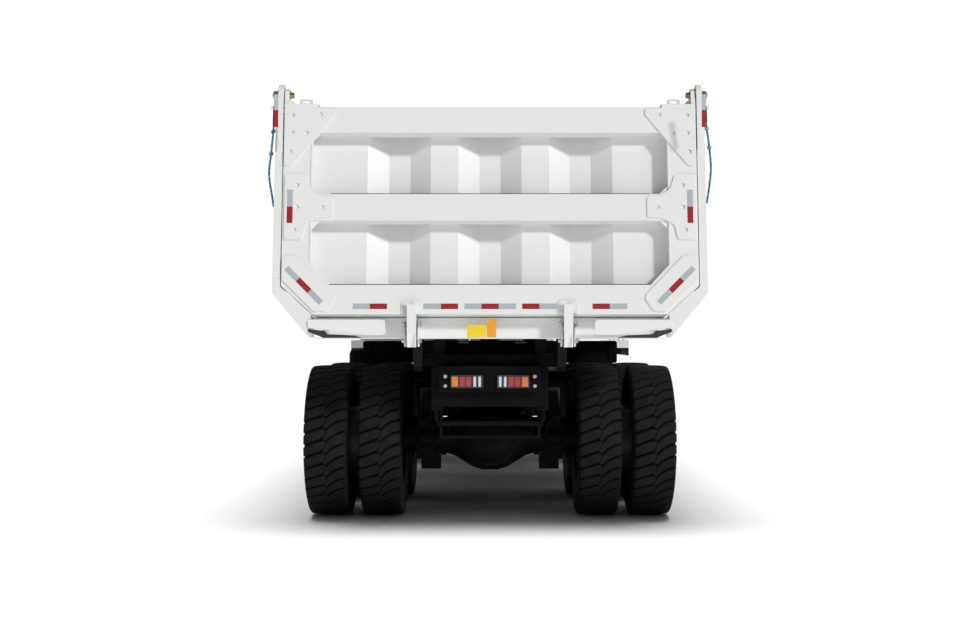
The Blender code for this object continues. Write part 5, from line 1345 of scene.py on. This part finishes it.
def swell(mesh, pressure, limit):
    """Blows a closed pad up a little with a cloth simulation, and keeps every point within the limit."""
    soft = bpy.data.objects.new("swelling", mesh)
    SCENE.collection.objects.link(soft)
    before = [vertex.co.copy() for vertex in mesh.vertices]
    cloth = soft.modifiers.new("cloth", "CLOTH")
    cloth.settings.use_pressure = True
    cloth.settings.uniform_pressure_force = pressure
    cloth.settings.effector_weights.gravity = 0
    for step in range(1, 15):
        SCENE.frame_set(step)
    state = soft.evaluated_get(bpy.context.evaluated_depsgraph_get()).data
    after = [vertex.co.copy() for vertex in state.vertices]
    SCENE.frame_set(1)
    bpy.data.objects.remove(soft)
    for vertex, old, new in zip(mesh.vertices, before, after):
        shift = new - old
        if shift.length > limit:
            shift.length = limit
        vertex.co = old + shift


def make_pad(name, low, high, channels, axis):
    """One seat pad: a crowned closed form with sewn channels across it."""
    low, high = Vector(low), Vector(high)
    inset = Vector((0.012, 0.012, 0.012))
    form = bmesh.new()
    bmesh.ops.create_cube(form, size=1.0)
    bmesh.ops.subdivide_edges(form, edges=form.edges[:], cuts=17, use_grid_fill=True)
    size = high - low - 2 * inset
    for vertex in form.verts:
        spot = vertex.co.copy() * 2
        for i in range(3):
            j, k = (i + 1) % 3, (i + 2) % 3
            pull = 1 - 0.10 * (abs(spot[j]) ** 4 + abs(spot[k]) ** 4)
            vertex.co[i] = spot[i] / 2 * size[i] * pull
    bmesh.ops.translate(form, vec=(low + high) / 2, verts=form.verts)
    mesh = bpy.data.meshes.new(name)
    form.to_mesh(mesh)
    form.free()
    swell(mesh, 3.5, 0.010)
    across, face = (1, 2) if axis == "Z" else (2, 1)
    for vertex in mesh.vertices:
        share = (vertex.co[across] - low[across]) / (high[across] - low[across]) * channels
        groove = math.exp(-((share - round(share)) * 9) ** 2)
        if 0 < round(share) < channels and abs(vertex.co[face] - high[face]) < 0.04:
            vertex.co[face] -= 0.008 * groove
        for i in range(3):
            vertex.co[i] = min(max(vertex.co[i], low[i] + 0.0005), high[i] - 0.0005)
    mesh.shade_smooth()
    pad = put(name, mesh, "seat_fabric", "chassis", ["driver_seat"])
    smoother = pad.modifiers.new("smooth", "SUBSURF")
    smoother.levels = smoother.render_levels = 1


def make_seat():
    make_pad("seat_cushion", (-1.36, 2.81, 1.955), (-0.84, 3.33, 2.08), 4, "Z")
    make_pad("seat_back", (-1.35, 2.712, 2.07), (-0.85, 2.845, 2.62), 5, "Y")
    make_pad("seat_headrest", (-1.23, 2.735, 2.655), (-0.97, 2.820, 2.86), 1, "Y")
    base = Shape()
    base.block((-1.33, 2.84, 1.925), (-0.87, 3.28, 1.955), 0.008)
    for i in range(7):
        inset, level = 0.003 * (i % 2), 1.66 + 0.036 * i
        base.block((-1.24 + inset, 2.87, level), (-0.96 - inset, 3.17, level + 0.03), 0.008)
    for x in (-1.23, -1.00):
        base.block((x, 2.86, 1.602), (x + 0.035, 3.25, 1.632), 0.004)
        base.rod((x + 0.06, 2.77, 2.60), (x + 0.06, 2.775, 2.68), 0.006, 12)
    base.block((-1.25, 2.86, 1.63), (-0.95, 3.18, 1.665), 0.005)
    base.tube([(-0.93, 3.10, 1.94), (-0.885, 3.16, 1.945), (-0.875, 3.24, 1.945)], 0.008)
    base.piece("seat_base", "black_plastic", "chassis", ["driver_seat"])


# ---- cab ----------------------------------------------------------------------


def make_steering_wheel():
    """A four-spoke wheel on its sloping column."""
    axis = Vector((0, 0.48, -0.877)).normalized()
    hub = Vector((-1.10, 3.49, 2.42))
    place = along(hub, hub - axis)
    wheel = Shape()
    wheel.turned(circle(0.213, 0, 0.0138, 12), place, 64, ring=True)
    boss = [(0, 0.012), (0.045, 0.010), (0.058, 0.0), (0.060, -0.02), (0.03, -0.035), (0, -0.035)]
    wheel.turned(boss, place, 40)
    for turn in (30, 150, 210, 330):
        spoke = place @ Matrix.Rotation(math.radians(turn), 4, "Z")
        wheel.block((0.04, -0.017, -0.012), (0.205, 0.017, 0.000), 0.004, spoke)
    wheel.rod(hub + axis * 0.02, hub + axis * 0.13, 0.027, 24)
    wheel.rod(hub + axis * 0.07, hub + axis * 0.135, 0.036, 24, edge=0.006)
    wheel.piece("steering_wheel_rim", "black_plastic", "chassis")


def make_cab_details():
    """Rubber seals, door handle, wipers, gutter and dashboard."""
    seals, trim, white = Shape(), Shape(), Shape()
    rim, hole = oblong((-1.655, 2.225), (-0.385, 3.175), 0.06), oblong((-1.625, 2.255), (-0.415, 3.145), 0.05)
    seals.plate([rim, hole], "Y", 4.0465, 4.0585, 0.003)
    seals.piece("windscreen_seal", "black_rubber", "chassis")
    door_seal = Shape()
    rim = oblong((2.86, 2.34), (3.54, 3.12), 0.05)
    hole = oblong((2.885, 2.365), (3.515, 3.095), 0.04)
    door_seal.plate([rim, hole], "X", -1.748, -1.7385, 0.002)
    door_seal.piece("door_window_seal", "black_rubber", "cab_door")
    handle = Shape()
    handle.block((-1.7465, 2.80, 2.15), (-1.738, 3.00, 2.22), 0.003)
    grip = [(-1.745, 2.82), (-1.765, 2.84), (-1.765, 2.96), (-1.745, 2.98)]
    handle.tube([(x, y, 2.185) for x, y in grip], 0.008)
    handle.piece("door_handle", "black_plastic", "cab_door")
    for x in (-1.35, -0.80):
        trim.rod((x, 4.052, 2.19), (x, 4.075, 2.19), 0.014, 16)
        trim.tube([(x, 4.072, 2.19), (x + 0.10, 4.076, 2.42), (x + 0.22, 4.066, 2.66)], 0.006)
        trim.block((x - 0.06, 4.058, 2.64), (x + 0.42, 4.068, 2.655), 0.003)
    trim.piece("wipers", "black_plastic", "chassis")
    white.block((-1.72, 4.045, 3.24), (-0.32, 4.072, 3.262), 0.004)
    for x in (-1.50, -0.55):
        white.block((x - 0.16, 4.048, 1.70), (x + 0.16, 4.054, 2.05), 0.003)
    white.piece("cab_gutter", "white_paint", "chassis")
    dash = Shape()
    for x in (-1.28, -1.10, -0.92):
        dash.turned([(0.050, 0), (0.058, 0.004), (0.058, 0.012), (0.048, 0.012)],
                    along((x, 3.70, 2.225), (x, 3.62, 2.30)), 28, ring=True)
    dash.block((-1.36, 3.69, 2.20), (-0.84, 3.80, 2.262), 0.012)
    dash.block((-0.74, 3.68, 2.06), (-0.44, 3.695, 2.18), 0.006)
    dash.piece("dash_binnacle", "black_plastic", "chassis")


def make_nose():
    """Grille bars, headlamps and the bumper's treads and tow rings."""
    grille, lamps, rims = Shape(), Shape(), Shape()
    for i in range(9):
        level = 1.52 + 0.085 * i
        grille.block((-0.22, 4.118, level), (0.76, 4.138, level + 0.035), 0.004)
    for x in (-0.23, 0.765):
        grille.block((x - 0.012, 4.12, 1.49), (x + 0.012, 4.139, 2.27), 0.004)
    grille.piece("grille_bars", "black_plastic", "chassis")
    for hand in (-1, 1):
        ends = sorted((hand * 1.12, hand * 1.56))
        rims.plate([oblong((ends[0], 0.86), (ends[1], 1.12), 0.03), circle(hand * 1.23, 0.99, 0.085, 32),
                    circle(hand * 1.45, 0.99, 0.085, 32)], "Y", 4.425, 4.4445, 0.002)
        for x in (1.23, 1.45):
            place = along((hand * x, 4.415, 0.99), (hand * x, 4.50, 0.99))
            glass = [(0, 0.012), (0.04, 0.022), (0.075, 0.016), (0.084, 0.006), (0.084, 0.0), (0, 0.0)]
            lamps.turned(glass, place, 40)
    rims.piece("headlamp_rims", "black_plastic", "chassis")
    lamps.piece("headlamps", "clear_lens", "chassis")
    steps = Shape()
    for i in range(7):
        x = -0.60 + 0.2 * i
        steps.block((x - 0.08, 4.20, 1.2385), (x + 0.08, 4.40, 1.2465), 0.003)
    for x in (-0.75, 0.75):
        place = Matrix.Translation((x, 4.375, 0.80)) @ AXES["X"]
        steps.turned(circle(0.05, 0, 0.012, 8), place, 32, ring=True)
    steps.piece("bumper_treads", "bright_steel", "chassis")


def make_hoist_details():
    """Gland ring, bands and bolts on the hoist's barrel."""
    rings = Shape()
    base, eye = Vector((0, 1.75, 1.10)), Vector((0, 1.70, 3.20))
    way = (eye - base).normalized()
    reach = 1.725
    top = base + way * reach
    gland = [(0.1255, -0.05), (0.130, -0.045), (0.130, 0.0), (0.1255, 0.004)]
    rings.turned(gland, along(top, top + way), 48, ring=True)
    band = [(0.1255, -0.012), (0.1285, -0.010), (0.1285, 0.010), (0.1255, 0.012)]
    for share in (0.25, 0.55):
        spot = base + way * (reach * share)
        rings.turned(band, along(spot, spot + way), 48, ring=True)
    for i in range(8):
        turn = along(top, top + way) @ Matrix.Rotation(math.pi * i / 4, 4, "Z")
        rings.bolt(turn @ Vector((0.1315, 0, -0.025)), turn.to_3x3() @ Vector((1, 0, 0)), 0.012)
    rings.piece("hoist_gland_rings", "chassis_paint", "hoist_barrel")


def make_tank_details():
    straps, caps = Shape(), Shape()
    for y in (-0.35, 0.35, 1.05):
        straps.block((0.612, y - 0.025, 0.5915), (1.4285, y + 0.025, 0.5995), 0.002)
        straps.block((1.4205, y - 0.025, 0.592), (1.4285, y + 0.025, 1.268), 0.002)
        straps.block((0.622, y - 0.025, 1.2605), (1.4285, y + 0.025, 1.2685), 0.002)
    for y in (0.32, 1.08):
        straps.block((-1.3685, y - 0.025, 0.592), (-1.3605, y + 0.025, 1.308), 0.002)
        straps.block((-1.3685, y - 0.025, 1.3005), (-0.622, y + 0.025, 1.3085), 0.002)
    straps.piece("tank_straps", "bright_steel", "chassis")
    for x, y, z in ((1.15, 0.75, 1.2605), (-1.0, 0.70, 1.3005)):
        cap = [(0, 0.045), (0.045, 0.042), (0.05, 0.036), (0.05, 0.012), (0.06, 0.010), (0.06, 0.0), (0, 0.0)]
        caps.turned(cap, Matrix.Translation((x, y, z)), 32)
    for x in (-1.40, -1.16):
        caps.block((x - 0.05, -0.60, 1.5005), (x + 0.05, -0.28, 1.512), 0.004)
    caps.piece("tank_caps", "black_plastic", "chassis")


def make_spring_clamps():
    """U-bolts over the springs."""
    front = ((2.28, 2.42), (0.408, 0.552), 0.60, 0.885, 0.879, 0.011)
    bogie = ((-2.40, -2.20), (0.518, 0.662), 0.90, 1.13, 1.119, 0.013)
    bolts = Shape()
    for hand in (-1, 1):
        for places, legs, low, high, bridge, radius in (front, bogie):
            for y in places:
                for x in legs:
                    bolts.rod((hand * x, y, low), (hand * x, y, high), radius, 16)
                bolts.rod(*((hand * x, y, bridge) for x in legs), radius, 16)
    bolts.piece("spring_clamps", "cast_metal", "chassis")


def make_handrail_details():
    feet = Shape()
    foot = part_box("handrail")[0].z
    for x, y in ((1.74, 2.12), (1.74, 2.77), (1.74, 3.42), (1.74, 4.08), (1.32, 4.08), (0.90, 4.08)):
        feet.turned([(0, 0.012), (0.036, 0.012), (0.042, 0.008), (0.042, 0.0), (0, 0.0)],
                    Matrix.Translation((x, y, foot + 0.0005)), 24)
        for i in range(4):
            t = math.pi * i / 2 + 0.785
            feet.bolt((x + 0.031 * math.cos(t), y + 0.031 * math.sin(t), foot + 0.0125), (0, 0, 1), 0.010)
    feet.piece("handrail_feet", "bright_steel", "chassis")


def make_body_lips():
    """Long lips over the ribs of the body's sides."""
    lips = Shape()
    for hand in (-1, 1):
        for level in (2.12, 3.46):
            ends = sorted((hand * 1.7985, hand * 1.8065))
            lips.block((ends[0], -4.05, level), (ends[1], 1.30, level + 0.035), 0.003)
    lips.piece("body_lips", "white_paint", "dump_body")


make_seat()
make_steering_wheel()
make_cab_details()
make_nose()
make_hoist_details()
make_tank_details()
make_spring_clamps()
make_handrail_details()
make_body_lips()

key, truck = make_room()
light_only(key, truck, "truck_lit")
